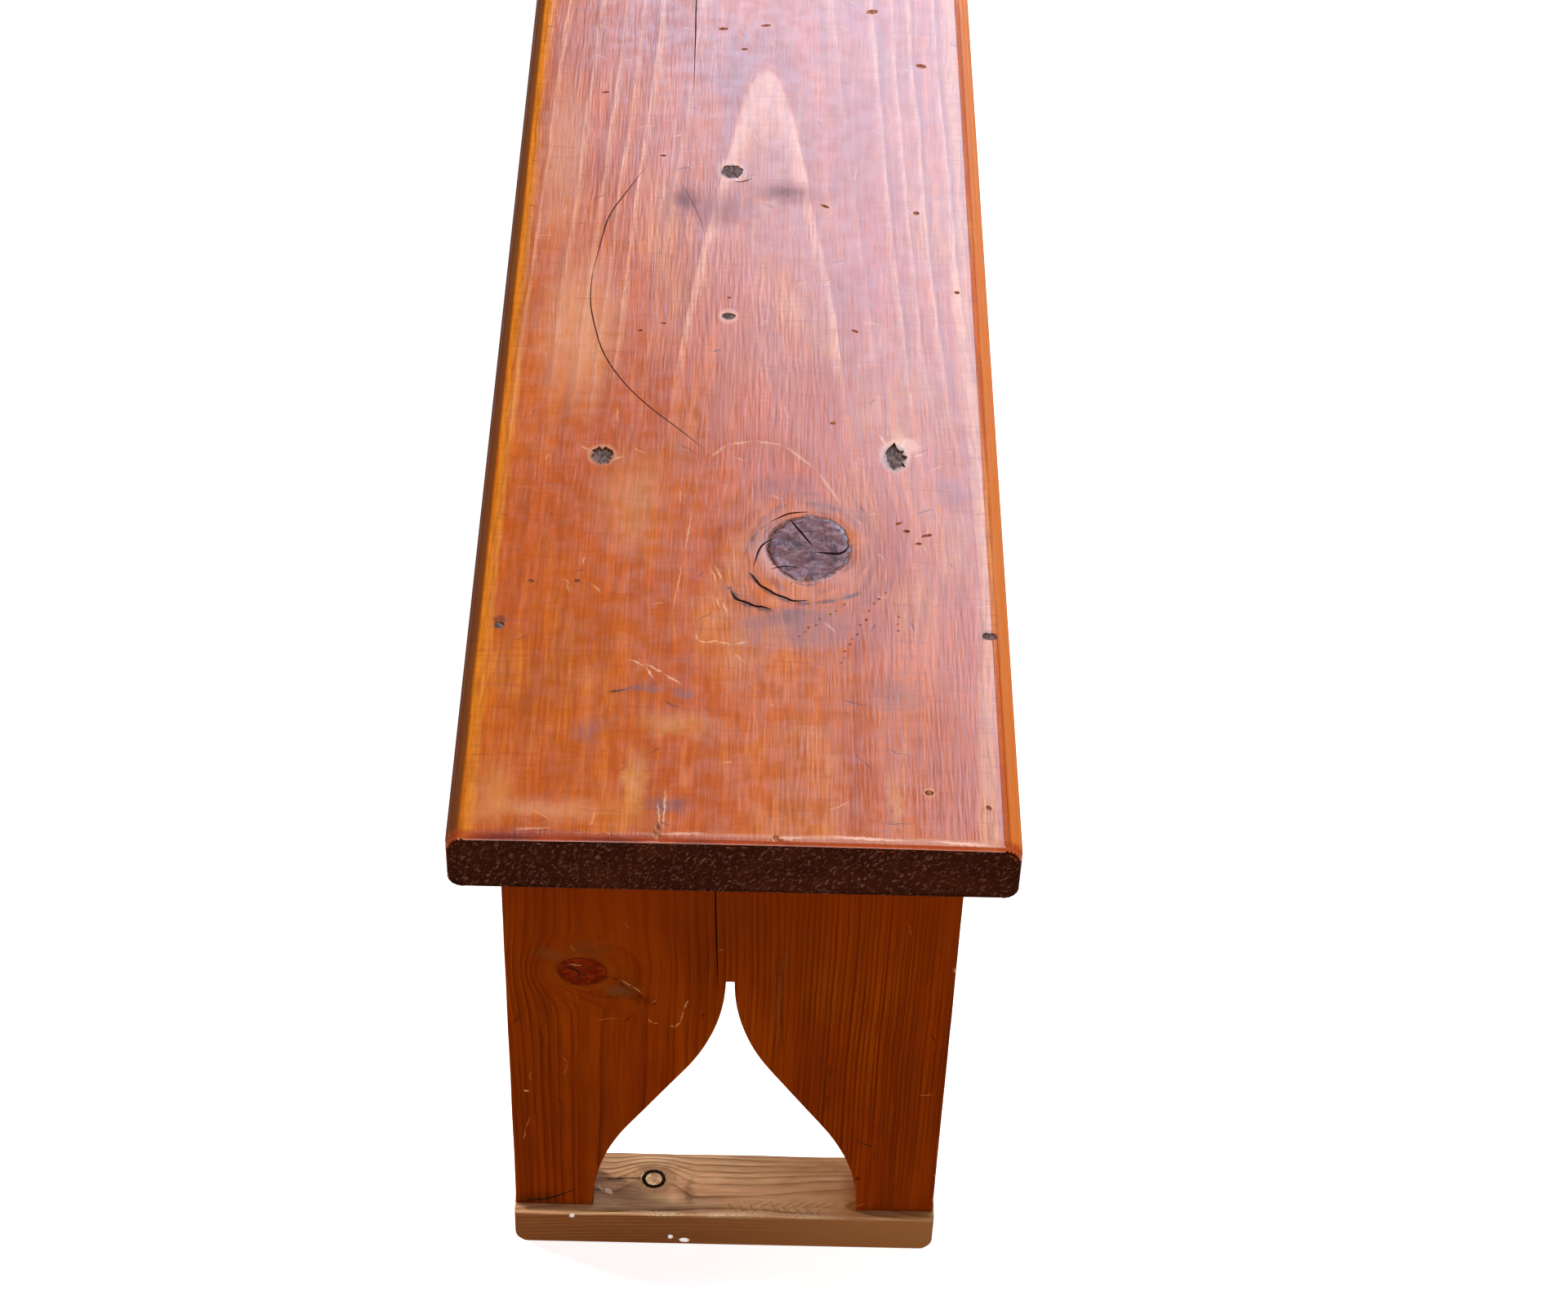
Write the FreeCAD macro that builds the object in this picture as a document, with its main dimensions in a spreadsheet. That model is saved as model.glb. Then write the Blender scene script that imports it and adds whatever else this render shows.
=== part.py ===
import FreeCAD, Part
import math
import os
import Sketcher

# A monks bench: one thick pine plank on two board legs, each leg standing on a foot batten.
# X runs across the seat, Y along it with the near end at -Y, and Z up from the floor.
# The origin is the middle of the footprint, on the floor.

doc = FreeCAD.newDocument("MonksBench")
sheet = doc.addObject("Spreadsheet::Sheet", "Sizes")

# Driving sizes in millimetres: alias, value, what it is
driving_sizes = [
    ("bench_height", 457, "floor to the seat's top"),
    ("seat_length", 1830, "seat plank, along Y"),
    ("seat_width", 280, "seat plank, along X"),
    ("seat_thickness", 38, "seat plank, along Z"),
    ("seat_top_round", 8, "radius of the long top edges"),
    ("seat_bottom_round", 7, "radius of the long lower edges"),
    ("seat_end_ease", 1.5, "radius of the arrises round each end"),
    ("leg_overhang", 99, "seat's end to the leg's outer face"),
    ("leg_width", 248, "leg board, along X"),
    ("leg_thickness", 28, "leg board, along Y"),
    ("leg_housing_depth", 8, "how far the leg stands up into the seat"),
    ("arch_apex_height", 236, "floor to the flat tip of the arch"),
    ("arch_apex_width", 4, "width of the flat tip"),
    ("arch_base_width", 156, "width of the arch at the leg's foot"),
    ("arch_straight", 60, "straight run between the two bends of the ogee"),
    ("batten_depth", 45, "batten stock, along Y"),
    ("batten_thickness", 31, "batten stock, along Z"),
    ("foot_side_margin", 1, "foot batten past each edge of the leg, along X"),
    ("foot_projection", 5, "foot batten past the leg's outer face"),
    ("foot_corner_round", 8, "radius of the foot's lower corners"),
    ("seat_batten_setback", 3, "seat's long edge to the end of a seat batten"),
    ("rail_thickness", 28, "centre rail, along X"),
    ("rail_depth", 75, "centre rail, along Z"),
    ("rail_offset", 10, "rail's middle, to the left of the bench's middle"),
    ("tenon_thickness", 15, "rail's tenon, along X"),
    ("tenon_height", 34, "rail's tenon, along Z"),
    ("joint_clearance", 0.2, "gap on each side of a tenon or a housed end"),
    ("arris_ease", 1.5, "rounding of the arrises of legs, battens and rail"),
    ("nail_diameter", 3.4, "nail's shank"),
    ("nail_head_diameter", 5, "nail's head"),
    ("nail_head_thickness", 2, "nail's head"),
    ("nail_point", 6, "length of the nail's point"),
    ("nail_clearance", 0.1, "gap round a nail or a filler, on the radius"),
    ("nail_sink", 3, "how deep a seat nail's head is punched"),
    ("seat_nail_length", 60, "nail through the seat"),
    ("seat_nail_inset", 14, "seat's long edge to the nails of a seat batten"),
    ("seat_nail_shift", 2.5, "that pair's middle, to the right of the bench's middle"),
    ("rail_nail_inner", 364, "bench's middle to the inner rail nails"),
    ("rail_nail_outer", 505, "bench's middle to the outer rail nails"),
    ("leg_nail_length", 60, "nail through the leg into the seat batten"),
    ("leg_nail_sink", 1, "how deep a leg or foot nail's head lies"),
    ("leg_nail_inner", 48, "bench's middle to the inner leg nails"),
    ("leg_nail_inset", 26, "leg's edge to the outer leg nails"),
    ("foot_nail_length", 65, "nail up through the foot batten"),
    ("foot_nail_spread", 20, "between the two nails of a leg's cheek"),
    ("old_hole_width", 10, "old fixing holes in the seat, along X"),
    ("old_hole_left_length", 11, "left old hole, along Y"),
    ("old_hole_right_length", 20, "right old hole, along Y"),
    ("old_hole_spread", 160, "between the two old holes"),
    ("old_hole_shift", 3, "the pair's middle, to the right of the bench's middle"),
    ("old_hole_reach", 287, "seat's near end to the old holes"),
    ("old_hole_depth", 14, "depth of the old holes"),
    ("old_hole_sink", 1.2, "how low the filler lies in an old hole"),
]
for row, (alias, size, note) in enumerate(driving_sizes, start=1):
    sheet.set(f"A{row}", note)
    sheet.set(f"B{row}", str(size))
    sheet.setAlias(f"B{row}", alias)
doc.recompute()

# Places that follow from the sizes, as expressions
seat_top = "Sizes.bench_height"
under_seat = "(Sizes.bench_height - Sizes.seat_thickness)"
seat_end = "(Sizes.seat_length / 2)"
leg_outer = "(Sizes.seat_length / 2 - Sizes.leg_overhang)"
leg_middle = "(Sizes.seat_length / 2 - Sizes.leg_overhang - Sizes.leg_thickness / 2)"
leg_inner = "(Sizes.seat_length / 2 - Sizes.leg_overhang - Sizes.leg_thickness)"
leg_foot = "Sizes.batten_thickness"
leg_top = f"({under_seat} + Sizes.leg_housing_depth)"
foot_length = "(Sizes.leg_width + 2 * Sizes.foot_side_margin)"
foot_middle = f"({leg_outer} + Sizes.foot_projection - Sizes.batten_depth / 2)"
seat_batten_length = "(Sizes.seat_width - 2 * Sizes.seat_batten_setback)"
seat_batten_middle = f"({leg_inner} - Sizes.batten_depth / 2)"
seat_batten_bottom = f"({under_seat} - Sizes.batten_thickness)"
rail_bottom = f"({under_seat} - Sizes.rail_depth)"
tenon_middle = f"(({rail_bottom} + {seat_batten_bottom}) / 2)"
tenon_bottom = f"({tenon_middle} - Sizes.tenon_height / 2)"
tenon_top = f"({tenon_middle} + Sizes.tenon_height / 2)"
arch_run = "((Sizes.arch_base_width - Sizes.arch_apex_width) / 2)"
arch_rise = f"(Sizes.arch_apex_height - {leg_foot})"
arch_bend = f"(({arch_run}^2 + {arch_rise}^2 - Sizes.arch_straight^2) / (4 * {arch_run}))"
cheek_middle = "((Sizes.leg_width / 2 + Sizes.arch_base_width / 2) / 2)"
nail_bore = "(Sizes.nail_diameter + 2 * Sizes.nail_clearance)"
head_bore = "(Sizes.nail_head_diameter + 2 * Sizes.nail_clearance)"
leg_nail_z = f"({under_seat} - Sizes.batten_thickness / 2)"
low_recess = "(Sizes.leg_nail_sink + Sizes.nail_head_thickness)"

# How deep each nail's point lies below the face that it enters
seat_nail_reach = "(Sizes.nail_sink + Sizes.seat_nail_length)"
leg_nail_reach = "(Sizes.leg_nail_sink + Sizes.leg_nail_length)"
foot_nail_reach = "(Sizes.leg_nail_sink + Sizes.foot_nail_length)"

# Where the nails go, as expressions
seat_nail_xs = [
    f"Sizes.seat_nail_shift {sign} (Sizes.seat_width / 2 - Sizes.seat_nail_inset)" for sign in "-+"
]
leg_nail_xs = [
    "Sizes.leg_nail_inset - Sizes.leg_width / 2",
    "-Sizes.leg_nail_inner",
    "Sizes.leg_nail_inner",
    "Sizes.leg_width / 2 - Sizes.leg_nail_inset",
]
foot_nail_xs = [
    f"{cheek} {cheek_middle} {sign} Sizes.foot_nail_spread / 2" for cheek in "-+" for sign in "-+"
]
rail_nail_ys = [
    "-Sizes.rail_nail_outer",
    "-Sizes.rail_nail_inner",
    "0",
    "Sizes.rail_nail_inner",
    "Sizes.rail_nail_outer",
]
seat_nail_places = [
    (x, f"{sign} {seat_batten_middle}") for sign in "-+" for x in seat_nail_xs
] + [("-Sizes.rail_offset", y) for y in rail_nail_ys]
old_hole_xs = [f"Sizes.old_hole_shift {sign} Sizes.old_hole_spread / 2" for sign in "-+"]
old_hole_y = f"(Sizes.old_hole_reach - {seat_end})"

# Two edges closer than this, in millimetres, lie in the same place
tolerance = 1e-4


def value(expression):
    return float(sheet.evalExpression(expression))


def new_body(label):
    body = doc.addObject("PartDesign::Body", label)
    body.Label = label
    return body


def new_sketch(body, name, plane, offset="0"):
    """Sketch on one of the body's own origin planes, moved along that plane's normal."""
    sketch = body.newObject("Sketcher::SketchObject", f"{body.Label}_{name}")
    origin_plane = next(item for item in body.Origin.OriginFeatures if item.Role == plane)
    sketch.AttachmentSupport = [(origin_plane, "")]
    sketch.MapMode = "FlatFace"
    sketch.setExpression(".AttachmentOffset.Base.z", offset)
    return sketch


def pin(sketch, geometry, point, x, y):
    """Tie one point of the sketch to two expressions measured from the sketch's origin."""
    for kind, expression in (("DistanceX", x), ("DistanceY", y)):
        constraint = Sketcher.Constraint(kind, -1, 1, geometry, point, value(expression))
        index = sketch.addConstraint(constraint)
        sketch.setExpression(f"Constraints[{index}]", expression)


def line(sketch, x1, y1, x2, y2):
    return sketch.addGeometry(Part.LineSegment(FreeCAD.Vector(x1, y1, 0), FreeCAD.Vector(x2, y2, 0)))


def arc(sketch, x, y, radius, start, end):
    round_line = Part.Circle(FreeCAD.Vector(x, y, 0), FreeCAD.Vector(0, 0, 1), radius)
    return sketch.addGeometry(Part.ArcOfCircle(round_line, start, end))


def polygon(sketch, corners):
    points = [(value(x), value(y)) for x, y in corners]
    lines = [line(sketch, *start, *end) for start, end in zip(points, points[1:] + points[:1])]
    for i, (x, y) in enumerate(corners):
        sketch.addConstraint(Sketcher.Constraint("Coincident", lines[i - 1], 2, lines[i], 1))
        pin(sketch, lines[i], 1, x, y)


def rectangle(sketch, left, bottom, right, top):
    polygon(sketch, [(left, bottom), (right, bottom), (right, top), (left, top)])


def circle(sketch, x, y, diameter):
    centre = FreeCAD.Vector(value(x), value(y), 0)
    round_line = Part.Circle(centre, FreeCAD.Vector(0, 0, 1), value(diameter) / 2)
    geometry = sketch.addGeometry(round_line)
    pin(sketch, geometry, 3, x, y)
    index = sketch.addConstraint(Sketcher.Constraint("Diameter", geometry, value(diameter)))
    sketch.setExpression(f"Constraints[{index}]", diameter)


def slot(sketch, x, y, width, length):
    """Round-ended slot along the sketch's Y."""
    middle_x, middle_y, radius = value(x), value(y), value(width) / 2
    reach = (value(length) - value(width)) / 2
    top, bottom = middle_y + reach, middle_y - reach
    far = arc(sketch, middle_x, top, radius, 0, math.pi)
    left = line(sketch, middle_x - radius, top, middle_x - radius, bottom)
    near = arc(sketch, middle_x, bottom, radius, math.pi, 2 * math.pi)
    right = line(sketch, middle_x + radius, bottom, middle_x + radius, top)
    for first, second in ((far, left), (left, near), (near, right), (right, far)):
        sketch.addConstraint(Sketcher.Constraint("Tangent", first, 2, second, 1))
    pin(sketch, far, 3, x, f"{y} + ({length} - {width}) / 2")
    pin(sketch, near, 3, x, f"{y} - ({length} - {width}) / 2")
    index = sketch.addConstraint(Sketcher.Constraint("Radius", far, radius))
    sketch.setExpression(f"Constraints[{index}]", f"{width} / 2")


def pad(body, sketch, length):
    """Pad by the same amount on both sides of the sketch."""
    feature = body.newObject("PartDesign::Pad", f"{sketch.Name}_pad")
    feature.Profile = sketch
    feature.SideType = "Symmetric"
    feature.setExpression("Length", length)
    doc.recompute()
    return feature


def pocket(body, sketch, depth=None, reverse=False):
    """Cut against the sketch's normal, or both ways through everything without a depth."""
    before = body.Shape.Volume
    feature = body.newObject("PartDesign::Pocket", f"{sketch.Name}_cut")
    feature.Profile = sketch
    if depth is None:
        feature.Type = "ThroughAll"
        feature.SideType = "Symmetric"
    else:
        feature.Type = "Length"
        feature.Reversed = reverse
        feature.setExpression("Length", depth)
    doc.recompute()
    if not body.Shape.Volume < before:
        raise RuntimeError(f"{feature.Name} cuts nothing")
    return feature


def drill(body, name, plane, offset, places, diameter, depth, reverse=False):
    """Round holes at the given places of one plane."""
    sketch = new_sketch(body, name, plane, offset)
    for x, y in places:
        circle(sketch, x, y, diameter)
    pocket(body, sketch, depth, reverse)


def round_edges(body, name, radius, wanted):
    """Round every edge whose bounding box passes the test."""
    tip = body.Tip
    edges = [f"Edge{i}" for i, edge in enumerate(tip.Shape.Edges, start=1) if wanted(edge.BoundBox)]
    feature = body.newObject("PartDesign::Fillet", f"{body.Label}_{name}")
    feature.Base = (tip, edges)
    feature.setExpression("Radius", radius)
    doc.recompute()


def near_to(a, b):
    return abs(a - b) < tolerance


def place(body, x="0", y="0", z="0"):
    for axis, expression in zip("xyz", (x, y, z)):
        body.setExpression(f".Placement.Base.{axis}", expression)


def make_seat_plank():
    body = new_body("seat_plank")
    section = new_sketch(body, "section", "XZ_Plane")
    half_width = "Sizes.seat_width / 2"
    rectangle(section, f"-{half_width}", under_seat, half_width, seat_top)
    pad(body, section, "Sizes.seat_length")
    top, bottom, end = value(seat_top), value(under_seat), value(seat_end)
    round_edges(
        body, "top_round", "Sizes.seat_top_round", lambda box: near_to(box.ZMin, top) and box.YLength > end
    )
    round_edges(
        body, "bottom_round", "Sizes.seat_bottom_round",
        lambda box: near_to(box.ZMax, bottom) and box.YLength > end,
    )
    round_edges(
        body, "end_ease", "Sizes.seat_end_ease",
        lambda box: near_to(box.YLength, 0) and near_to(abs(box.YMin), end),
    )
    housings = new_sketch(body, "housings", "XY_Plane", under_seat)
    side = "(Sizes.leg_width / 2 + Sizes.joint_clearance)"
    for sign in "-+":
        middle = f"({sign} {leg_middle})"
        half = "(Sizes.leg_thickness / 2 + Sizes.joint_clearance)"
        rectangle(housings, f"-{side}", f"{middle} - {half}", side, f"{middle} + {half}")
    pocket(body, housings, "Sizes.leg_housing_depth", reverse=True)
    recess = "Sizes.nail_sink + Sizes.nail_head_thickness"
    drill(body, "nail_recesses", "XY_Plane", seat_top, seat_nail_places, head_bore, recess)
    drill(body, "nail_bores", "XY_Plane", seat_top, seat_nail_places, nail_bore, "Sizes.seat_thickness")
    old_holes = new_sketch(body, "old_holes", "XY_Plane", seat_top)
    for x, side_name in zip(old_hole_xs, ("left", "right")):
        slot(old_holes, x, old_hole_y, "Sizes.old_hole_width", f"Sizes.old_hole_{side_name}_length")
    pocket(body, old_holes, "Sizes.old_hole_depth")
    return body


def arch_outline(sketch):
    """Ogee arch: on each side two equal bends, upright at their ends, with a straight run between."""
    bend, straight = value(arch_bend), value("Sizes.arch_straight")
    base, tip = value("Sizes.arch_base_width / 2"), value("Sizes.arch_apex_width / 2")
    foot, apex = value(leg_foot), value("Sizes.arch_apex_height")
    turn = math.atan2(value(arch_rise), 2 * bend - value(arch_run)) - math.atan2(straight, 2 * bend)
    across, up = bend * math.cos(turn), bend * math.sin(turn)
    low_x, high_x = base - bend, tip + bend
    lower = arc(sketch, low_x, foot, bend, 0, turn)
    upper = arc(sketch, high_x, apex, bend, math.pi, math.pi + turn)
    flank = line(sketch, low_x + across, foot + up, high_x - across, apex - up)
    mirror_lower = arc(sketch, -low_x, foot, bend, math.pi - turn, math.pi)
    mirror_upper = arc(sketch, -high_x, apex, bend, -turn, 0)
    mirror_flank = line(sketch, -low_x - across, foot + up, across - high_x, apex - up)
    floor_line = line(sketch, -base, foot, base, foot)
    tip_line = line(sketch, -tip, apex, tip, apex)
    sketch.addConstraint([
        Sketcher.Constraint("Tangent", lower, 2, flank, 1),
        Sketcher.Constraint("Tangent", upper, 2, flank, 2),
        Sketcher.Constraint("Tangent", mirror_lower, 1, mirror_flank, 1),
        Sketcher.Constraint("Tangent", mirror_upper, 1, mirror_flank, 2),
        Sketcher.Constraint("Coincident", floor_line, 1, mirror_lower, 2),
        Sketcher.Constraint("Coincident", floor_line, 2, lower, 1),
        Sketcher.Constraint("Coincident", tip_line, 1, mirror_upper, 2),
        Sketcher.Constraint("Coincident", tip_line, 2, upper, 1),
    ])
    pin(sketch, lower, 1, "Sizes.arch_base_width / 2", leg_foot)
    pin(sketch, lower, 3, f"Sizes.arch_base_width / 2 - {arch_bend}", leg_foot)
    pin(sketch, upper, 1, "Sizes.arch_apex_width / 2", "Sizes.arch_apex_height")
    pin(sketch, upper, 3, f"Sizes.arch_apex_width / 2 + {arch_bend}", "Sizes.arch_apex_height")
    pin(sketch, mirror_lower, 2, "-Sizes.arch_base_width / 2", leg_foot)
    pin(sketch, mirror_lower, 3, f"{arch_bend} - Sizes.arch_base_width / 2", leg_foot)
    pin(sketch, mirror_upper, 2, "-Sizes.arch_apex_width / 2", "Sizes.arch_apex_height")
    pin(sketch, mirror_upper, 3, f"-Sizes.arch_apex_width / 2 - {arch_bend}", "Sizes.arch_apex_height")


def make_leg(end, side):
    """Board leg with its arch, the mortise for the rail's tenon and the nails' bores."""
    body = new_body(f"{end}_leg")
    outline = new_sketch(body, "outline", "XZ_Plane")
    rectangle(outline, "-Sizes.leg_width / 2", leg_foot, "Sizes.leg_width / 2", leg_top)
    pad(body, outline, "Sizes.leg_thickness")
    upright = value(leg_top) - value(leg_foot)
    round_edges(body, "arris_ease", "Sizes.arris_ease", lambda box: near_to(box.ZLength, upright))
    arch = new_sketch(body, "arch", "XZ_Plane")
    arch_outline(arch)
    pocket(body, arch)
    mortise = new_sketch(body, "mortise", "XZ_Plane")
    half = "(Sizes.tenon_thickness / 2 + Sizes.joint_clearance)"
    rectangle(
        mortise,
        f"-Sizes.rail_offset - {half}",
        f"{tenon_bottom} - Sizes.joint_clearance",
        f"-Sizes.rail_offset + {half}",
        f"{tenon_top} + Sizes.joint_clearance",
    )
    pocket(body, mortise)
    # The XZ plane's normal is -Y, and the heads of the leg nails lie in the outer face
    outer_face = f"{-side} * Sizes.leg_thickness / 2"
    places = [(x, leg_nail_z) for x in leg_nail_xs]
    depth = "Sizes.leg_thickness"
    drill(body, "nail_bores", "XZ_Plane", outer_face, places, nail_bore, depth, reverse=side > 0)
    drill(body, "nail_recesses", "XZ_Plane", outer_face, places, head_bore, low_recess, reverse=side > 0)
    places = [(x, "0") for x in foot_nail_xs]
    depth = f"({foot_nail_reach} - {leg_foot})"
    drill(body, "foot_nail_bores", "XY_Plane", leg_foot, places, nail_bore, depth, reverse=True)
    place(body, y=f"{side} * {leg_middle}")
    return body


def make_batten(label, length, height):
    """Plain length of the batten stock lying along X, its underside at the given height."""
    body = new_body(label)
    section = new_sketch(body, "section", "XZ_Plane")
    rectangle(section, f"-{length} / 2", height, f"{length} / 2", f"{height} + Sizes.batten_thickness")
    pad(body, section, "Sizes.batten_depth")
    return body


def make_foot_batten(end, side):
    body = make_batten(f"{end}_foot_batten", foot_length, "0")
    deep, long, top = value("Sizes.batten_depth"), value(foot_length), value(leg_foot)
    round_edges(
        body, "foot_corners", "Sizes.foot_corner_round",
        lambda box: near_to(box.YLength, deep) and near_to(box.ZMax, 0),
    )
    round_edges(
        body, "arris_ease", "Sizes.arris_ease",
        lambda box: near_to(box.XLength, long) and near_to(box.ZMin, top),
    )
    places = [(x, f"{side} * ({leg_middle} - {foot_middle})") for x in foot_nail_xs]
    depth = "Sizes.batten_thickness"
    drill(body, "nail_bores", "XY_Plane", "0", places, nail_bore, depth, reverse=True)
    drill(body, "nail_recesses", "XY_Plane", "0", places, head_bore, low_recess, reverse=True)
    place(body, y=f"{side} * {foot_middle}")
    return body


def make_seat_batten(end, side):
    body = make_batten(f"{end}_seat_batten", seat_batten_length, seat_batten_bottom)
    long = value(seat_batten_length)
    bottom = value(seat_batten_bottom)
    round_edges(
        body, "arris_ease", "Sizes.arris_ease",
        lambda box: near_to(box.XLength, long) and near_to(box.ZMax, bottom),
    )
    places = [(x, "0") for x in seat_nail_xs]
    depth = f"({seat_nail_reach} - Sizes.seat_thickness)"
    drill(body, "seat_nail_bores", "XY_Plane", under_seat, places, nail_bore, depth)
    # Bores of the leg nails run in from the face against the leg
    places = [(x, leg_nail_z) for x in leg_nail_xs]
    leg_face = f"{-side} * Sizes.batten_depth / 2"
    depth = f"({leg_nail_reach} - Sizes.leg_thickness)"
    drill(body, "leg_nail_bores", "XZ_Plane", leg_face, places, nail_bore, depth, reverse=side > 0)
    place(body, y=f"{side} * {seat_batten_middle}")
    return body


def make_centre_rail():
    """Rail on edge under the seat: cut back under the seat battens and tenoned into the legs."""
    body = new_body("centre_rail")
    profile = new_sketch(body, "profile", "YZ_Plane")
    notch = f"({leg_inner} - Sizes.batten_depth - Sizes.joint_clearance)"
    right_half = [
        (leg_inner, rail_bottom),
        (leg_inner, tenon_bottom),
        (leg_outer, tenon_bottom),
        (leg_outer, tenon_top),
        (leg_inner, tenon_top),
        (leg_inner, seat_batten_bottom),
        (notch, seat_batten_bottom),
        (notch, under_seat),
    ]
    left_half = [(f"-{y}", z) for y, z in reversed(right_half)]
    polygon(profile, right_half + left_half)
    pad(body, profile, "Sizes.rail_thickness")
    between_legs = 2 * value(leg_inner)
    bottom = value(rail_bottom)
    round_edges(
        body, "arris_ease", "Sizes.arris_ease",
        lambda box: near_to(box.YLength, between_legs) and near_to(box.ZMax, bottom),
    )
    cheeks = new_sketch(body, "cheeks", "XY_Plane")
    for across in "-+":
        for along in "-+":
            x_in = f"{across} Sizes.tenon_thickness / 2"
            x_out = f"{across} Sizes.rail_thickness / 2"
            rectangle(cheeks, x_in, f"{along} {leg_inner}", x_out, f"{along} {leg_outer}")
    pocket(body, cheeks)
    places = [("0", y) for y in rail_nail_ys]
    depth = f"({seat_nail_reach} - Sizes.seat_thickness)"
    drill(body, "nail_bores", "XY_Plane", under_seat, places, nail_bore, depth)
    place(body, x="-Sizes.rail_offset")
    return body


def nail_profile(name, length):
    """Half outline of a nail with its head's top at the origin and its point along -Z."""
    sketch = doc.addObject("Sketcher::SketchObject", name)
    sketch.Placement = FreeCAD.Placement(FreeCAD.Vector(), FreeCAD.Rotation(FreeCAD.Vector(1, 0, 0), 90))
    head, shank = "Sizes.nail_head_diameter / 2", "Sizes.nail_diameter / 2"
    polygon(sketch, [
        ("0", "0"),
        (head, "0"),
        (head, "-Sizes.nail_head_thickness"),
        (shank, "-Sizes.nail_head_thickness"),
        (shank, f"Sizes.nail_point - {length}"),
        ("0", f"-{length}"),
    ])
    return sketch


def make_nails(label, profile, places, tilt=0):
    """One node of nails: each stands at three expressions, and the tilt turns it about X."""
    nails = []
    for number, point in enumerate(places, start=1):
        nail = doc.addObject("Part::Revolution", f"{label}_{number}")
        nail.Source = profile
        nail.Axis = FreeCAD.Vector(0, 0, 1)
        nail.Angle = 360
        nail.Solid = True
        nail.Placement.Rotation = FreeCAD.Rotation(FreeCAD.Vector(1, 0, 0), tilt)
        place(nail, *point)
        nails.append(nail)
    return group(label, nails)


def group(label, members):
    compound = doc.addObject("Part::Compound", label)
    compound.Label = label
    compound.Links = members
    return compound


def make_nail_fillers():
    """Stopping over each sunk nail head, level with the seat."""
    fillers = []
    for number, (x, y) in enumerate(seat_nail_places, start=1):
        filler = doc.addObject("Part::Cylinder", f"nail_filler_{number}")
        filler.setExpression("Radius", "Sizes.nail_head_diameter / 2")
        filler.setExpression("Height", "Sizes.nail_sink")
        place(filler, x, y, f"{seat_top} - Sizes.nail_sink")
        fillers.append(filler)
    return group("seat_nail_fillers", fillers)


def make_old_hole_fillers():
    """Stopping in the two old fixing holes, a little below the seat's face."""
    fillers = []
    for x, side_name in zip(old_hole_xs, ("left", "right")):
        body = new_body(f"{side_name}_old_hole_filler")
        outline = new_sketch(body, "outline", "XY_Plane", f"{seat_top} - Sizes.old_hole_depth")
        margin = "2 * Sizes.nail_clearance"
        width = f"(Sizes.old_hole_width - {margin})"
        slot(outline, x, old_hole_y, width, f"(Sizes.old_hole_{side_name}_length - {margin})")
        filler = body.newObject("PartDesign::Pad", f"{outline.Name}_pad")
        filler.Profile = outline
        filler.setExpression("Length", "Sizes.old_hole_depth - Sizes.old_hole_sink")
        fillers.append(body)
    return group("old_hole_fillers", fillers)


seat_nail = nail_profile("seat_nail_profile", "Sizes.seat_nail_length")
leg_nail = nail_profile("leg_nail_profile", "Sizes.leg_nail_length")
foot_nail = nail_profile("foot_nail_profile", "Sizes.foot_nail_length")

seat_nail_z = f"({seat_top} - Sizes.nail_sink)"
nodes = [make_seat_plank(), make_centre_rail()]
for end, side in (("near", -1), ("far", 1)):
    nodes.append(make_leg(end, side))
    nodes.append(make_foot_batten(end, side))
    nodes.append(make_seat_batten(end, side))
    nodes.append(make_nails(
        f"{end}_seat_nails", seat_nail,
        [(x, f"{side} * {seat_batten_middle}", seat_nail_z) for x in seat_nail_xs],
    ))
    head_y = f"{side} * ({leg_outer} - Sizes.leg_nail_sink)"
    nodes.append(make_nails(
        f"{end}_leg_nails", leg_nail, [(x, head_y, leg_nail_z) for x in leg_nail_xs], tilt=-90 * side
    ))
    nodes.append(make_nails(
        f"{end}_foot_nails", foot_nail,
        [(x, f"{side} * {leg_middle}", "Sizes.leg_nail_sink") for x in foot_nail_xs], tilt=180,
    ))
nodes.append(make_nails(
    "centre_rail_nails", seat_nail, [("-Sizes.rail_offset", y, seat_nail_z) for y in rail_nail_ys]
))
nodes.append(make_nail_fillers())
nodes.append(make_old_hole_fillers())
doc.recompute()

for item in doc.Objects:
    if "Invalid" in item.State or "Error" in item.State:
        raise RuntimeError(f"{item.Label} did not compute: {item.State}")
for node in nodes:
    if node.Shape.isNull() or not node.Shape.isValid():
        raise RuntimeError(f"{node.Label} has no valid shape")

os.makedirs("parts", exist_ok=True)
for node in nodes:
    node.Shape.exportStep(f"parts/{node.Label}.step")
    print(node.Label, len(node.Shape.Solids), round(node.Shape.Volume))
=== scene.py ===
import math
import random

import bmesh
import bpy
from mathutils import Matrix, Vector


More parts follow.
